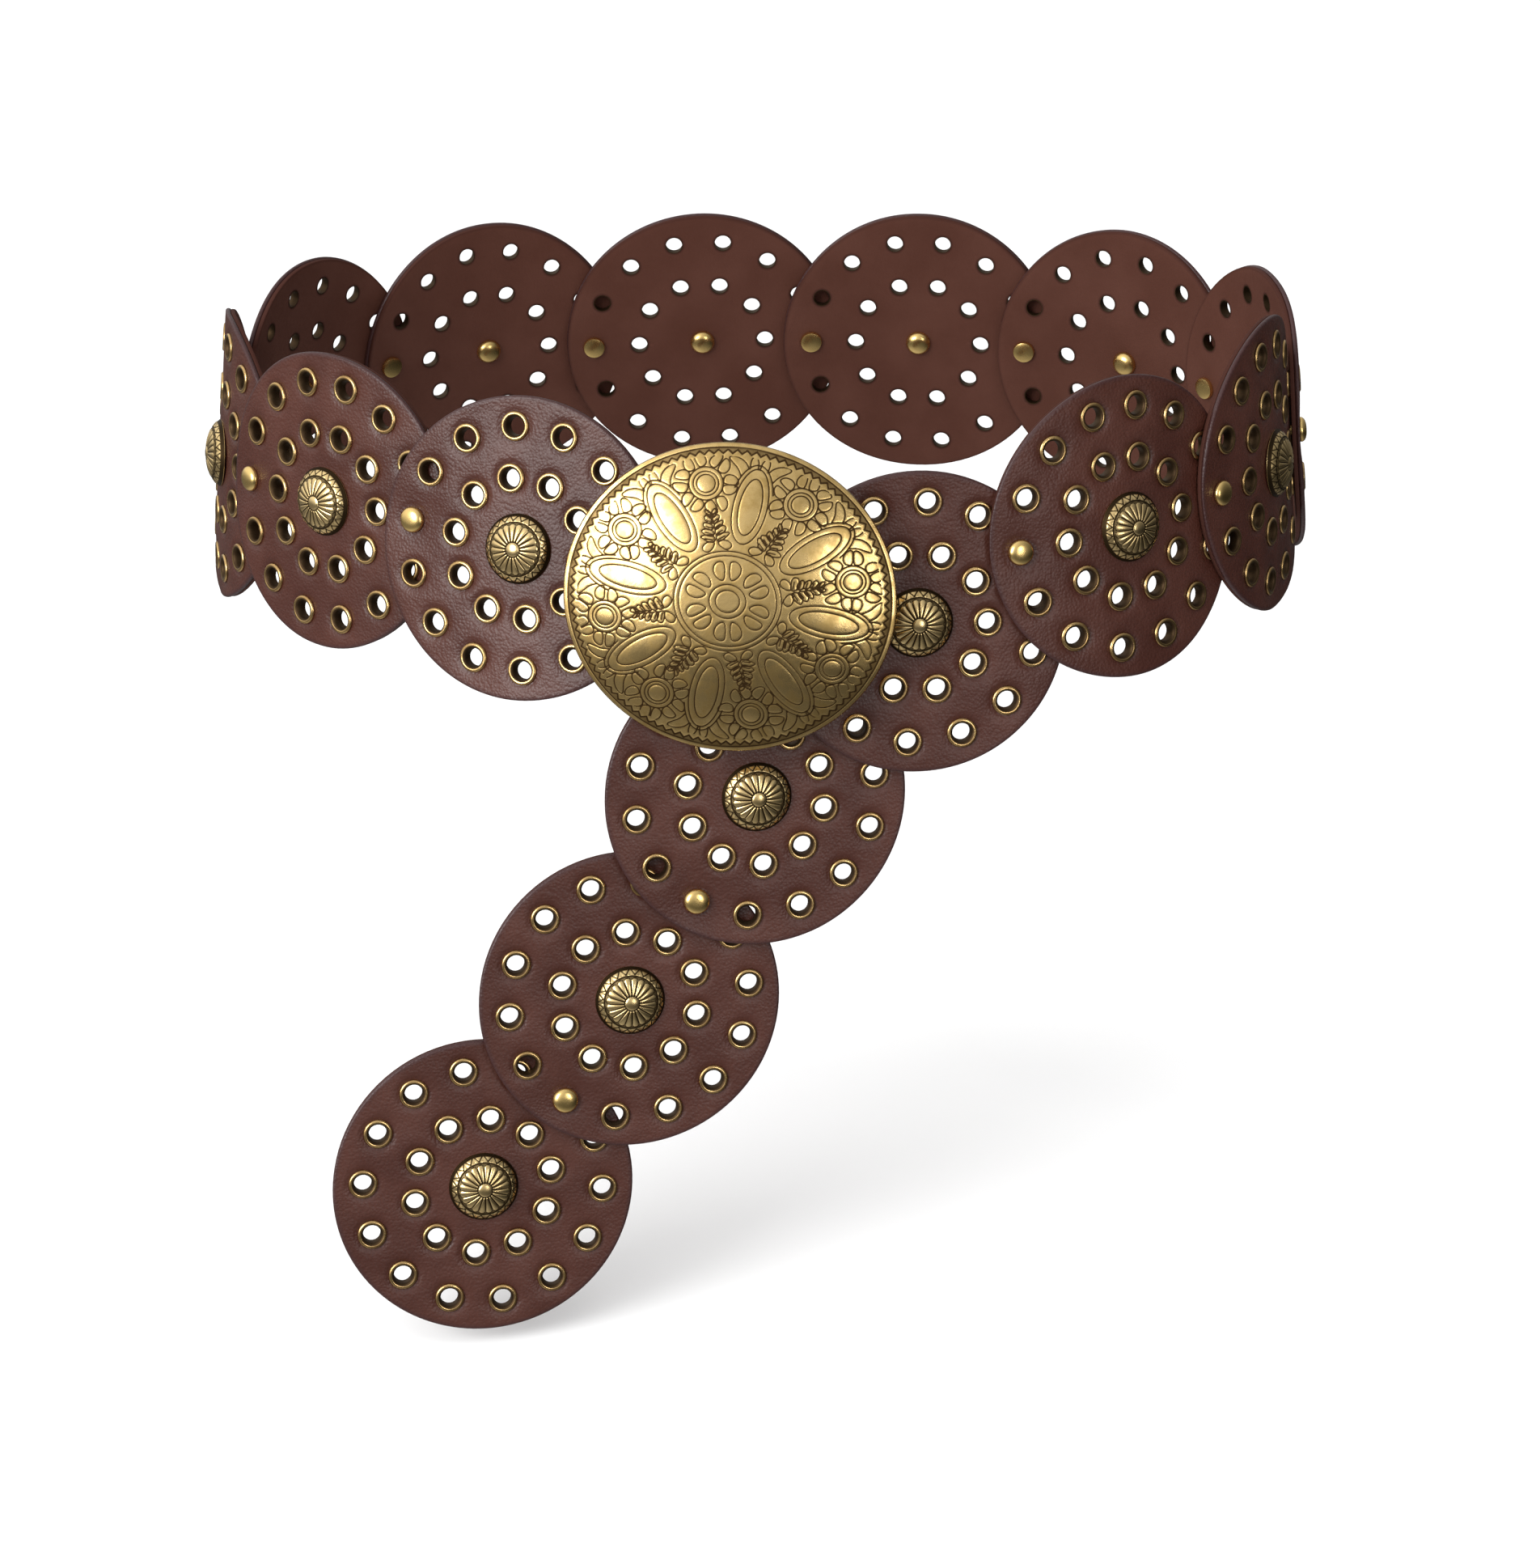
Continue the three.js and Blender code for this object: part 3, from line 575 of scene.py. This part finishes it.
def spun(name, profile, steps, angle=40):
    """A turned piece: a profile in mm, as (radius, height), spun round the upright axis."""
    mesh = bpy.data.meshes.new(name)
    corners = [(radius * MM, 0, height * MM) for radius, height in profile]
    mesh.from_pydata(corners, [(k, k + 1) for k in range(len(corners) - 1)], [])
    piece = bpy.data.objects.new(name, mesh)
    bpy.context.scene.collection.objects.link(piece)
    deselect()
    piece.select_set(True)
    bpy.context.view_layer.objects.active = piece
    bpy.ops.object.mode_set(mode="EDIT")
    bpy.ops.mesh.select_all(action="SELECT")
    bpy.ops.mesh.spin(steps=steps, angle=math.tau, center=(0, 0, 0), axis=(0, 0, 1))
    bpy.ops.mesh.select_all(action="SELECT")
    bpy.ops.mesh.remove_doubles(threshold=1e-6)
    bpy.ops.mesh.normals_make_consistent(inside=False)
    bpy.ops.object.mode_set(mode="OBJECT")
    bpy.ops.object.shade_smooth_by_angle(angle=math.radians(angle))
    return piece


def store_recess(mesh, values):
    """Keeps how deep in a dark recess each vertex lies, 1 at its bottom, as the attribute "recess"."""
    recess = mesh.attributes.new("recess", "FLOAT", "POINT")
    recess.data.foreach_set("value", np.asarray(values, np.float32))


rivet_brass = brass_material("rivet_brass", (0.96, 0.68, 0.26, 1), (0.68, 0.45, 0.16, 1), 0.35, 0.12)
# The eyelets' dark colour is painted shade, laid through the recess attribute on the barrel's inside and on the
# lip's foot at the leather.
eyelet_brass = brass_material("eyelet_brass", (0.70, 0.47, 0.20, 1), (0.31, 0.18, 0.07, 1), 0.7, 0.12,
                              0.5, (0.085, 0.052, 0.027, 1))
eyelet_model = spun("eyelet", (*EYELET_PROFILE, EYELET_PROFILE[0]), EYELET_STEPS)
eyelet_model.data.materials.append(eyelet_brass)
corners = mesh_points(eyelet_model.data) / MM
# Painted shade and shadow: the eyelet is coloured dark inside the lip and below its foot, standing in for shade
# in the barrel and a shadow where the lip meets the leather.
LIP_INSIDE, LIP_FOOT = 3.80, 1.60
shaded_depth = np.maximum(LIP_INSIDE - np.hypot(corners[:, 0], corners[:, 1]), LIP_FOOT - corners[:, 2])
store_recess(eyelet_model.data, np.clip(shaded_depth / 0.7, 0, 1))


def eyelets_of(number):
    """All eyelets of one disc in their flat places, joined; the chain rivets take two places."""
    taken = (7,) if number == len(CHAIN) else (0, 7)
    places = hole_places(RIVET_CIRCLE_RADIUS, OUTER_RING_HOLES, taken)
    places += hole_places(INNER_RING_RADIUS, INNER_RING_HOLES)
    deselect()
    for n, (x, y) in enumerate(places):
        eyelet = copy_of(eyelet_model, f"eyelet_{number}_{n}")
        eyelet.data.transform(Matrix.Translation((x, y, 0)))
        eyelet.select_set(True)
        bpy.context.view_layer.objects.active = eyelet
    bpy.ops.object.join()
    piece = bpy.context.object
    piece.name = f"eyelets_{number}"
    return piece


for number in DISC_NUMBERS:
    piece = eyelets_of(number)
    set_mesh_points(piece.data, lay(mesh_points(piece.data), number))
    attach(piece, "root")
bpy.data.objects.remove(eyelet_model)


# Small conchos: one low brass dome on each disc, pressed with a ring of petals and a zigzag border,
# held by a post through the leather and a cap inside. The recesses are blackened.
CONCHO_RADIUS = 10.4
CONCHO_HEIGHT = 4.1
CONCHO_PETALS = 20
CONCHO_STEPS = 220
CONCHO_RINGS = 38
BORDER_LEAVES = 20
CONCHO_FOOT = 1.52
# Places on the dome as shares of its radius
BUTTON, BUTTON_RING, PETAL_FOOT, PETAL_TIP, PETAL_RING = 0.2, 0.215, 0.225, 0.735, 0.775
BORDER_START, BORDER_END = 0.79, 0.95


def seat(number, x=0.0, y=0.0):
    """The place of a rigid piece on a disc's layer: x right, y up, z outwards from its middle."""
    climb = CHAIN_CLIMBS[number - 1]
    to_right = MM * np.array([math.cos(climb), math.sin(climb), 0])
    to_top = MM * np.array([-math.sin(climb), math.cos(climb), 0])
    spot = np.array([x, y, 0])
    spots = [spot, spot + to_right, spot - to_right, spot + to_top, spot - to_top]
    origin, right, left, above, below = lay(spots, number)
    outward = Vector(np.cross(right - left, above - below)).normalized()
    across = Vector(right - left).normalized()
    across = (across - outward * across.dot(outward)).normalized()
    upward = outward.cross(across)
    turn = Matrix((across, upward, outward)).transposed().to_4x4()
    return Matrix.Translation(Vector(origin)) @ turn


def line_mask(distance, width):
    """1 on a cut line, falling to 0 at half its width; distances in mm."""
    return np.clip(1.15 - np.abs(distance) / (width / 2), 0, 1)


def concho_relief(share, angle):
    """Swell over the plain dome and distance from the nearest pressed line, both in mm."""
    radius = share * CONCHO_RADIUS
    petal = (angle * CONCHO_PETALS / math.tau) % 1 - 0.5
    tip = (PETAL_TIP - 0.10 * np.abs(2 * petal) ** 2.6 - share) * CONCHO_RADIUS
    in_petals = (share > PETAL_FOOT) & (tip > -0.15)
    off = np.where(in_petals, (0.5 - np.abs(petal)) * math.tau * radius / CONCHO_PETALS, 9)
    off = np.minimum(off, np.where(share > 0.29, np.abs(tip), 9))
    off = np.where((tip < 0) & (share < PETAL_RING), 0.17, off)
    off = np.minimum(off, np.abs(radius - BUTTON_RING * CONCHO_RADIUS))
    off = np.minimum(off, np.abs(radius - PETAL_RING * CONCHO_RADIUS))
    leaf = (angle * BORDER_LEAVES / math.tau) % 1 - 0.5
    in_border = (share > BORDER_START) & (share < BORDER_END)
    zigzag = (0.81 + 0.30 * np.abs(leaf) - share) * CONCHO_RADIUS
    off = np.where(in_border, np.minimum(off, np.abs(zigzag) * 0.75), off)
    off = np.minimum(off, np.clip(BORDER_END - share, 0, 1) * CONCHO_RADIUS)
    swell = np.where(in_petals, 0.20 * (1 - (2 * petal) ** 2), 0)
    swell = np.where(share < BUTTON, 0.15 + 0.35 * (1 - (share / BUTTON) ** 2), swell)
    return np.where(in_border, 0.18 * (1 - (2 * leaf) ** 2), swell), off


def dome_height(share):
    """Height of the plain dome in mm, from the share of its radius."""
    return CONCHO_HEIGHT * (1 - share**2.5) ** 0.8


ring_shares = np.linspace(0, 1, CONCHO_RINGS + 1) ** 0.85
concho_profile = [(share * CONCHO_RADIUS, 1.5 + dome_height(share) + 0.35) for share in ring_shares]
concho_profile += [(CONCHO_RADIUS - 0.05, CONCHO_FOOT), (CONCHO_RADIUS - 1.4, CONCHO_FOOT), (0, CONCHO_FOOT)]
concho_model = spun("concho", concho_profile, CONCHO_STEPS, 60)
points = mesh_points(concho_model.data) / MM
share = np.hypot(points[:, 0], points[:, 1]) / CONCHO_RADIUS
angle = np.arctan2(points[:, 1], points[:, 0])
swell, off = concho_relief(share, angle)
on_dome = points[:, 2] > 1.6
points[:, 2] += np.where(on_dome & (share < 0.995), swell - 0.18 * line_mask(off, 0.45), 0)
points[:, 2] = np.maximum(points[:, 2], CONCHO_FOOT)
set_mesh_points(concho_model.data, points * MM)
store_recess(concho_model.data, np.where(on_dome, np.clip(1 - off, 0, 1), 0.5))
concho_brass = brass_material("concho_brass", (0.90, 0.67, 0.32, 1), (0.52, 0.36, 0.15, 1), 0.55, 0.18, 0.79,
                              (0.042, 0.026, 0.012, 1))
concho_model.data.materials.append(concho_brass)

CAP_PROFILE = ((0, -4.1), (1.6, -4.0), (2.9, -3.6), (3.7, -2.9), (4.0, -2.2), (4.0, -1.55), (0, -1.55))
cap_model = spun("concho_cap", CAP_PROFILE, 28)
cap_model.data.materials.append(rivet_brass)

for number in DISC_NUMBERS:
    dome = copy_of(concho_model, f"concho_dome_{number}")
    cap = copy_of(cap_model, f"concho_cap_{number}")
    for piece in (dome, cap):
        piece.data.transform(seat(number))
        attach(piece, "root")
        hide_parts(f"concho_{number}")
bpy.data.objects.remove(concho_model)
bpy.data.objects.remove(cap_model)


# Cap rivets: plain bright brass caps hammered onto a shank with a flat head inside, one through
# each overlap of two discs. The cap presses a shallow dimple into the leather.
RIVET_PROFILE = (
    (0, 4.85), (0.9, 4.83), (1.8, 4.74), (2.6, 4.54), (3.3, 4.18), (3.75, 3.64), (3.90, 3.15), (3.80, 2.66),
    (1.5, 2.64), (1.5, -3.32), (3.5, -3.32), (3.62, -3.9), (3.35, -4.6), (2.3, -4.95), (0, -5.0),
)
rivet_model = spun("rivet", RIVET_PROFILE, 36)
rivet_model.data.materials.append(rivet_brass)
for number in DISC_NUMBERS[:-1]:
    here = seat(number, -RIVET_CIRCLE_RADIUS)
    there = seat(number + 1, RIVET_CIRCLE_RADIUS)
    place = here.copy()
    place.translation = (here.translation + there.translation) / 2
    piece = copy_of(rivet_model, f"rivet_{number}")
    piece.data.transform(place)
    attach(piece, "root")
    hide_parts(f"cap_rivet_{number}")
bpy.data.objects.remove(rivet_model)


# Buckle bar, its hook and its rivet: plain tarnished brass behind the plate, riveted to the first
# disc, with a hook that goes through an eyelet of the twelfth. The CAD shapes are kept.
bar_brass = brass_material("bar_brass", (0.62, 0.45, 0.22, 1), (0.28, 0.17, 0.07, 1), 0.6, 0.25)
for name in ("buckle_hook", "buckle_rivet"):
    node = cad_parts[name]
    node.data.materials.clear()
    node.data.materials.append(bar_brass)


# Buckle plate: a large oval dome of antique brass, stamped with fine lines that are blackened, on
# a short post that holds it to the bar. It is hollow behind, with a thin rolled rim.
PLATE_WIDTH = 96.5
PLATE_HEIGHT = 89.5
PLATE_DOME = 10.5
PLATE_WALL = 1.4
PLATE_RIM = 6.0
PLATE_LEAN = -11
PLATE_DROP = 1.8 * MM
PLATE_SHIFT = 4.6 * MM
PLATE_GRID = 290
LINE_WIDTH = 0.60
LINE_DEPTH = 0.10
BAR_EDGE = 10.8 * MM
FACE_OUT = 1.9 * MM
FLOWER_ANGLE = 9.8
OVAL_ANGLE = 32.3
PATTERN_TURN = 8
REPEATS = 8
REPEAT_ANGLE = 360 / REPEATS
FLOWER_OUT = 36.6
BORDER_TEETH = 104


def plate_seat():
    """The plate's place: on the bar midway between the two joined discs, its top leaning inwards."""
    hook_turn = 2 * math.tau / OUTER_RING_HOLES
    hook_spot = (-RIVET_CIRCLE_RADIUS * math.cos(hook_turn), RIVET_CIRCLE_RADIUS * math.sin(hook_turn))
    first, hooked = seat(1, RIVET_CIRCLE_RADIUS), seat(12, *hook_spot)
    start = first @ Vector((BAR_EDGE, 0, FACE_OUT))
    end = hooked @ Vector((-BAR_EDGE, 0, FACE_OUT))
    along = (end - start).normalized()
    upward = Matrix.Rotation(math.radians(PLATE_LEAN), 3, along) @ Vector((0, 0, 1))
    outward = along.cross(upward).normalized()
    upward = outward.cross(along)
    middle = (start + end) / 2 + along * PLATE_SHIFT - upward * PLATE_DROP
    turn = Matrix((along, upward, outward)).transposed().to_4x4()
    return Matrix.Translation(middle) @ turn


def smooth_path(corners, closed=True, rounds=3):
    """Rounds a path's corners by cutting them again and again."""
    path = np.array(corners, float)
    for _ in range(rounds):
        after = np.roll(path, -1, axis=0)
        cut = np.stack([path * 0.75 + after * 0.25, path * 0.25 + after * 0.75], axis=1)
        if closed:
            path = cut.reshape(-1, 2)
        else:
            path = np.concatenate([path[:1], cut[:-1].reshape(-1, 2), path[-1:]])
    return path


def ellipse(half_length, half_width, points=48):
    turn = np.linspace(0, math.tau, points, endpoint=False)
    return np.stack([half_length * np.cos(turn), half_width * np.sin(turn)], axis=1)


def turned(path, degrees, centre=(0, 0)):
    """Turns a path drawn along +x to an angle, after moving it to a centre on that line."""
    a = math.radians(degrees)
    x, y = path[:, 0] + centre[0], path[:, 1] + centre[1]
    return np.stack([x * math.cos(a) - y * math.sin(a), x * math.sin(a) + y * math.cos(a)], axis=1)


def engrave(off, spots, path, closed=True):
    """Lowers all spots' distances from the nearest cut line, in mm, where this path comes nearer."""
    starts = path if closed else path[:-1]
    ends = np.roll(path, -1, axis=0) if closed else path[1:]
    inside = (spots >= path.min(axis=0) - 1) & (spots <= path.max(axis=0) + 1)
    near = np.flatnonzero(inside.all(axis=1))
    for start, end in zip(starts, ends):
        line = end - start
        gap = spots[near] - start
        t = np.clip(gap @ line / max(line @ line, 1e-9), 0, 1)
        off[near] = np.minimum(off[near], np.hypot(*(gap - t[:, None] * line).T))


HALF_PETAL = ((5.3, 0.25), (9.3, 0.25), (9.6, 1.2), (8.9, 2.5), (7.3, 3.3), (5.6, 3.0), (5.0, 1.6))
HALF_SEED = ((6.5, 0.7), (11.9, 0.7), (12.5, 1.9), (12.0, 3.3), (10.3, 4.2), (8.1, 3.7), (6.6, 2.2))
SPRIG_LEAF = ((0.0, 0.3), (0.2, 2.0), (1.2, 3.9), (2.4, 4.2), (2.7, 2.6), (1.7, 0.3))
SPRIG_FOOT = ((0.3, 0.4), (-1.2, 0.9), (-2.7, 2.6), (-1.9, 4.4), (-0.2, 4.0), (0.7, 2.0))
HORN = ((-1.4, 4.6), (0.8, 5.9), (2.2, 7.9), (3.4, 9.4), (4.2, 8.6), (4.1, 6.2), (3.0, 4.0), (1.4, 2.9))
FLAME = ((1.7, 0.3), (3.6, 0.4), (5.2, 1.2), (5.5, 2.2), (4.1, 2.9), (1.5, 2.6))


def plate_lines(spots):
    """Distance in mm of each spot of the round-drawn plate from the nearest engraved line."""
    radius = np.hypot(*spots.T)
    turn = np.arctan2(spots[:, 1], spots[:, 0])
    off = np.min([np.abs(radius - ring) for ring in (3.5, 5.3, 14.2, 15.6)], axis=0)
    for pair in range(6):
        for side in (-1, 1):
            seed = smooth_path(HALF_SEED, rounds=2) * (1, side)
            engrave(off, spots, turned(seed, 90 + 60 * pair))
    shape = np.random.default_rng(12)
    for k in range(REPEATS):
        flower = np.array([FLOWER_OUT, 0])
        flower_angle = FLOWER_ANGLE + REPEAT_ANGLE * k
        for ring in (2.7, 3.7, 5.0):
            engrave(off, spots, turned(ellipse(ring, ring, 36), flower_angle, flower))
        for pair in range(6):
            for side in (-1, 1):
                petal = smooth_path(HALF_PETAL, rounds=2) * (1, side) * shape.uniform(0.95, 1.03, 2)
                petal = turned(petal, 60 * pair + 18 + shape.uniform(-4, 4)) + flower
                engrave(off, spots, turned(petal, flower_angle))
        for step in range(5):
            size = 1.0 - 0.15 * step
            for side in (-1, 1):
                leaf = np.array(SPRIG_LEAF) * (1.05, side * size)
                leaf *= shape.uniform(0.85, 1.12, (len(SPRIG_LEAF), 2))
                vein = np.array(((0.7, 0.8), (1.5, 2.9))) * (1, side * size)
                for line, closed in ((smooth_path(leaf, rounds=2), True), (vein, False)):
                    engrave(off, spots, turned(line + (18.6 + 1.85 * step, 0), flower_angle), closed)
        for side in (-1, 1):
            foot = smooth_path(np.array(SPRIG_FOOT) * (1, side), rounds=2) + (18.4, 0)
            engrave(off, spots, turned(foot, flower_angle))
        oval_angle = OVAL_ANGLE + REPEAT_ANGLE * k
        engrave(off, spots, turned(ellipse(8.7, 3.2), oval_angle, (29.8, 0)))
        engrave(off, spots, turned(ellipse(11.6, 4.9), oval_angle, (29.9, 0)))
        collar = ellipse(13.0, 6.1)
        collar = collar[np.abs(np.arctan2(collar[:, 1], collar[:, 0])) < 1.0]
        collar = collar[np.argsort(collar[:, 1])]
        engrave(off, spots, turned(collar, oval_angle, (29.7, 0)), closed=False)
        for side in (-1, 1):
            for corners in (HORN, FLAME):
                line = smooth_path(np.array(corners) * (1, side), closed=False, rounds=2)
                engrave(off, spots, turned(line, oval_angle, (39.6, 0)), closed=False)
    teeth = 2 * np.abs((turn * BORDER_TEETH / math.tau) % 1 - 0.5)
    zigzag = 45.2 + 1.2 * teeth
    off = np.where(radius > 44.6, np.abs(radius - zigzag) * 0.62, off)
    border_fill = 0.20 + np.clip(zigzag + 0.4 - radius, 0, 9) + np.clip(radius - 47.3, 0, 9)
    off = np.minimum(off, border_fill)
    return np.minimum(off, np.abs(radius - 47.1))


def plate_swell(spots):
    """Small raised cushions inside the ovals and the flowers' middles, in mm."""
    swell = np.zeros(len(spots))
    cushions = ((FLOWER_ANGLE, FLOWER_OUT, (2.7, 2.7), 0.12), (OVAL_ANGLE, 29.8, (8.7, 3.2), 0.10))
    for k in range(REPEATS):
        for angle, centre, size, rise in cushions:
            local = turned(spots, -angle - REPEAT_ANGLE * k) - (centre, 0)
            share = (local[:, 0] / size[0]) ** 2 + (local[:, 1] / size[1]) ** 2
            swell = np.maximum(swell, rise * np.clip(1 - share, 0, 1))
    return swell


deselect()
bpy.ops.mesh.primitive_grid_add(x_subdivisions=PLATE_GRID, y_subdivisions=PLATE_GRID, size=2,
                                location=(0, 0, 0))
plate = bpy.context.object
plate.name = "buckle_dome"
corners = mesh_points(plate.data).astype(float)
square = corners[:, :2].copy()
corners[:, 0] = square[:, 0] * np.sqrt(1 - square[:, 1] ** 2 / 2)
corners[:, 1] = square[:, 1] * np.sqrt(1 - square[:, 0] ** 2 / 2)
set_mesh_points(plate.data, corners)
bpy.ops.object.mode_set(mode="EDIT")
bpy.ops.mesh.select_all(action="SELECT")
bpy.ops.mesh.region_to_loop()
share = 1.0
for next_share, drop in ((1.006, 0.1), (0.985, 0.1), (0.95, 1), (0.85, 1), (0.7, 1), (0.5, 1), (0.25, 1)):
    bpy.ops.mesh.extrude_edges_move(TRANSFORM_OT_translate={"value": (0, 0, -drop)})
    bpy.ops.transform.resize(value=(next_share / share, next_share / share, 1), center_override=(0, 0, 0))
    share = next_share
bpy.ops.mesh.edge_face_add()
bpy.ops.mesh.select_all(action="SELECT")
bpy.ops.mesh.normals_make_consistent(inside=False)
bpy.ops.object.mode_set(mode="OBJECT")
bpy.ops.object.shade_smooth_by_angle(angle=math.radians(60))

points = mesh_points(plate.data).astype(float)
share = np.hypot(points[:, 0], points[:, 1])
depth = points[:, 2]
front = depth > -0.05
spots = turned(points[:, :2] * (PLATE_WIDTH / 2), -PATTERN_TURN)
off = np.full(len(points), 9.0)
off[front] = plate_lines(spots[front])
swell = np.zeros(len(points))
swell[front] = plate_swell(spots[front])
dome = (PLATE_DOME - PLATE_WALL) * (1 - np.minimum(share, 1) ** 2.2)
face = PLATE_RIM + PLATE_WALL + dome + swell - LINE_DEPTH * line_mask(off, LINE_WIDTH)
height = np.where(front, face, PLATE_RIM + dome)
height = np.where((depth < -0.05) & (depth > -0.15), PLATE_RIM + PLATE_WALL * 0.6, height)
height = np.where((depth < -0.15) & (depth > -0.25), PLATE_RIM, height)
points[:, 0] *= PLATE_WIDTH / 2
points[:, 1] *= PLATE_HEIGHT / 2
points[:, 2] = height
set_mesh_points(plate.data, points * MM)
store_recess(plate.data, np.where(front, np.clip(1 - off, 0, 1), 0.5))
buckle_brass = brass_material("buckle_brass", (0.80, 0.56, 0.23, 1), (0.42, 0.27, 0.085, 1), 0.75, 0.22, 0.77,
                              (0.060, 0.033, 0.013, 1))
plate.data.materials.append(buckle_brass)

POST_PROFILE = ((0, -1.6), (3.9, -1.6), (4.2, -1.3), (4.2, -0.4), (2.5, -0.4), (2.5, 14.6), (0, 14.6))
post = spun("buckle_post", POST_PROFILE, 28)
post.data.materials.append(bar_brass)
for piece in (plate, post):
    piece.data.transform(plate_seat())
    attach(piece, "root")
    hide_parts("buckle_plate")


# Floor, light and camera: a plain white floor under the hanging end, a large soft light in front on
# the left, a weaker one on the right, a very soft one above, and the photograph's view.
FLOOR_HEIGHT = -232 * MM
CAMERA_PLACE = (1.88 * MM, -1525.8 * MM, 466.3 * MM)
CAMERA_DOWN = 20.573
CAMERA_LENS = 117.27
LIGHT_TARGET = (0, -0.05, -0.05)
# Greys of the room from straight below (0) to straight above (1)
ROOM_GREYS = ((0, 0.60), (0.24, 0.15), (0.39, 0.09), (0.50, 0.42), (0.58, 0.70), (1, 0.95))

deselect()
bpy.ops.mesh.primitive_plane_add(size=30, location=(0, 0, FLOOR_HEIGHT))
floor = bpy.context.object
floor.name = "floor"
floor_white, tree, shader = new_material("floor_white", roughness=0.9, specular_ior_level=0.1)
shader.inputs["Base Color"].default_value = (0.86, 0.86, 0.86, 1)
floor.data.materials.append(floor_white)

floor.visible_glossy = False

world = bpy.data.worlds.new("studio")
bpy.context.scene.world = world
world.use_nodes = True
tree = world.node_tree
look = add_node(tree, "ShaderNodeTexCoord").outputs["Generated"]
aside = add_node(tree, "ShaderNodeSeparateXYZ", {0: look}).outputs
ramp = add_node(tree, "ShaderNodeValToRGB", {0: maths(tree, "MULTIPLY_ADD", aside["Z"], 0.5, 0.5)})
stops = ramp.color_ramp.elements
for place, _ in ROOM_GREYS[1:-1]:
    stops.new(place)
for stop, (_, grey) in zip(stops, ROOM_GREYS):
    stop.color = (grey, grey, grey, 1)
background = tree.nodes["Background"].inputs
tree.links.new(ramp.outputs["Color"], background["Color"])
tree.links.new(maths(tree, "MULTIPLY_ADD", aside["X"], -0.64, 0.78), background["Strength"])


def softbox(name, place, target, size, power):
    """A large rectangular light that looks at a point."""
    bpy.ops.object.light_add(type="AREA", location=place)
    light = bpy.context.object
    light.name = name
    light.data.shape = "RECTANGLE"
    light.data.size, light.data.size_y = size
    light.data.energy = power
    light.rotation_euler = (Vector(target) - Vector(place)).to_track_quat("-Z", "Y").to_euler()


softbox("key_light", (-1.27, -1.58, 0.64), LIGHT_TARGET, (0.9, 1.1), 30)
softbox("side_light", (0.86, -1.72, 0.30), LIGHT_TARGET, (0.36, 0.8), 5.5)
bpy.ops.object.light_add(type="SUN", location=(-1, -1, 2), rotation=(math.radians(32), 0, math.radians(-35)))
overhead = bpy.context.object
overhead.name = "overhead_light"
overhead.data.energy = 2.2
overhead.data.angle = math.radians(85)
overhead.visible_glossy = False

bpy.ops.object.camera_add(location=CAMERA_PLACE, rotation=(math.radians(90 - CAMERA_DOWN), 0, 0))
camera = bpy.context.object
camera.data.lens = CAMERA_LENS
camera.data.sensor_width = 36
camera.data.clip_start = 0.05
camera.data.clip_end = 100
bpy.context.scene.camera = camera
bpy.context.scene.view_settings.view_transform = "Standard"
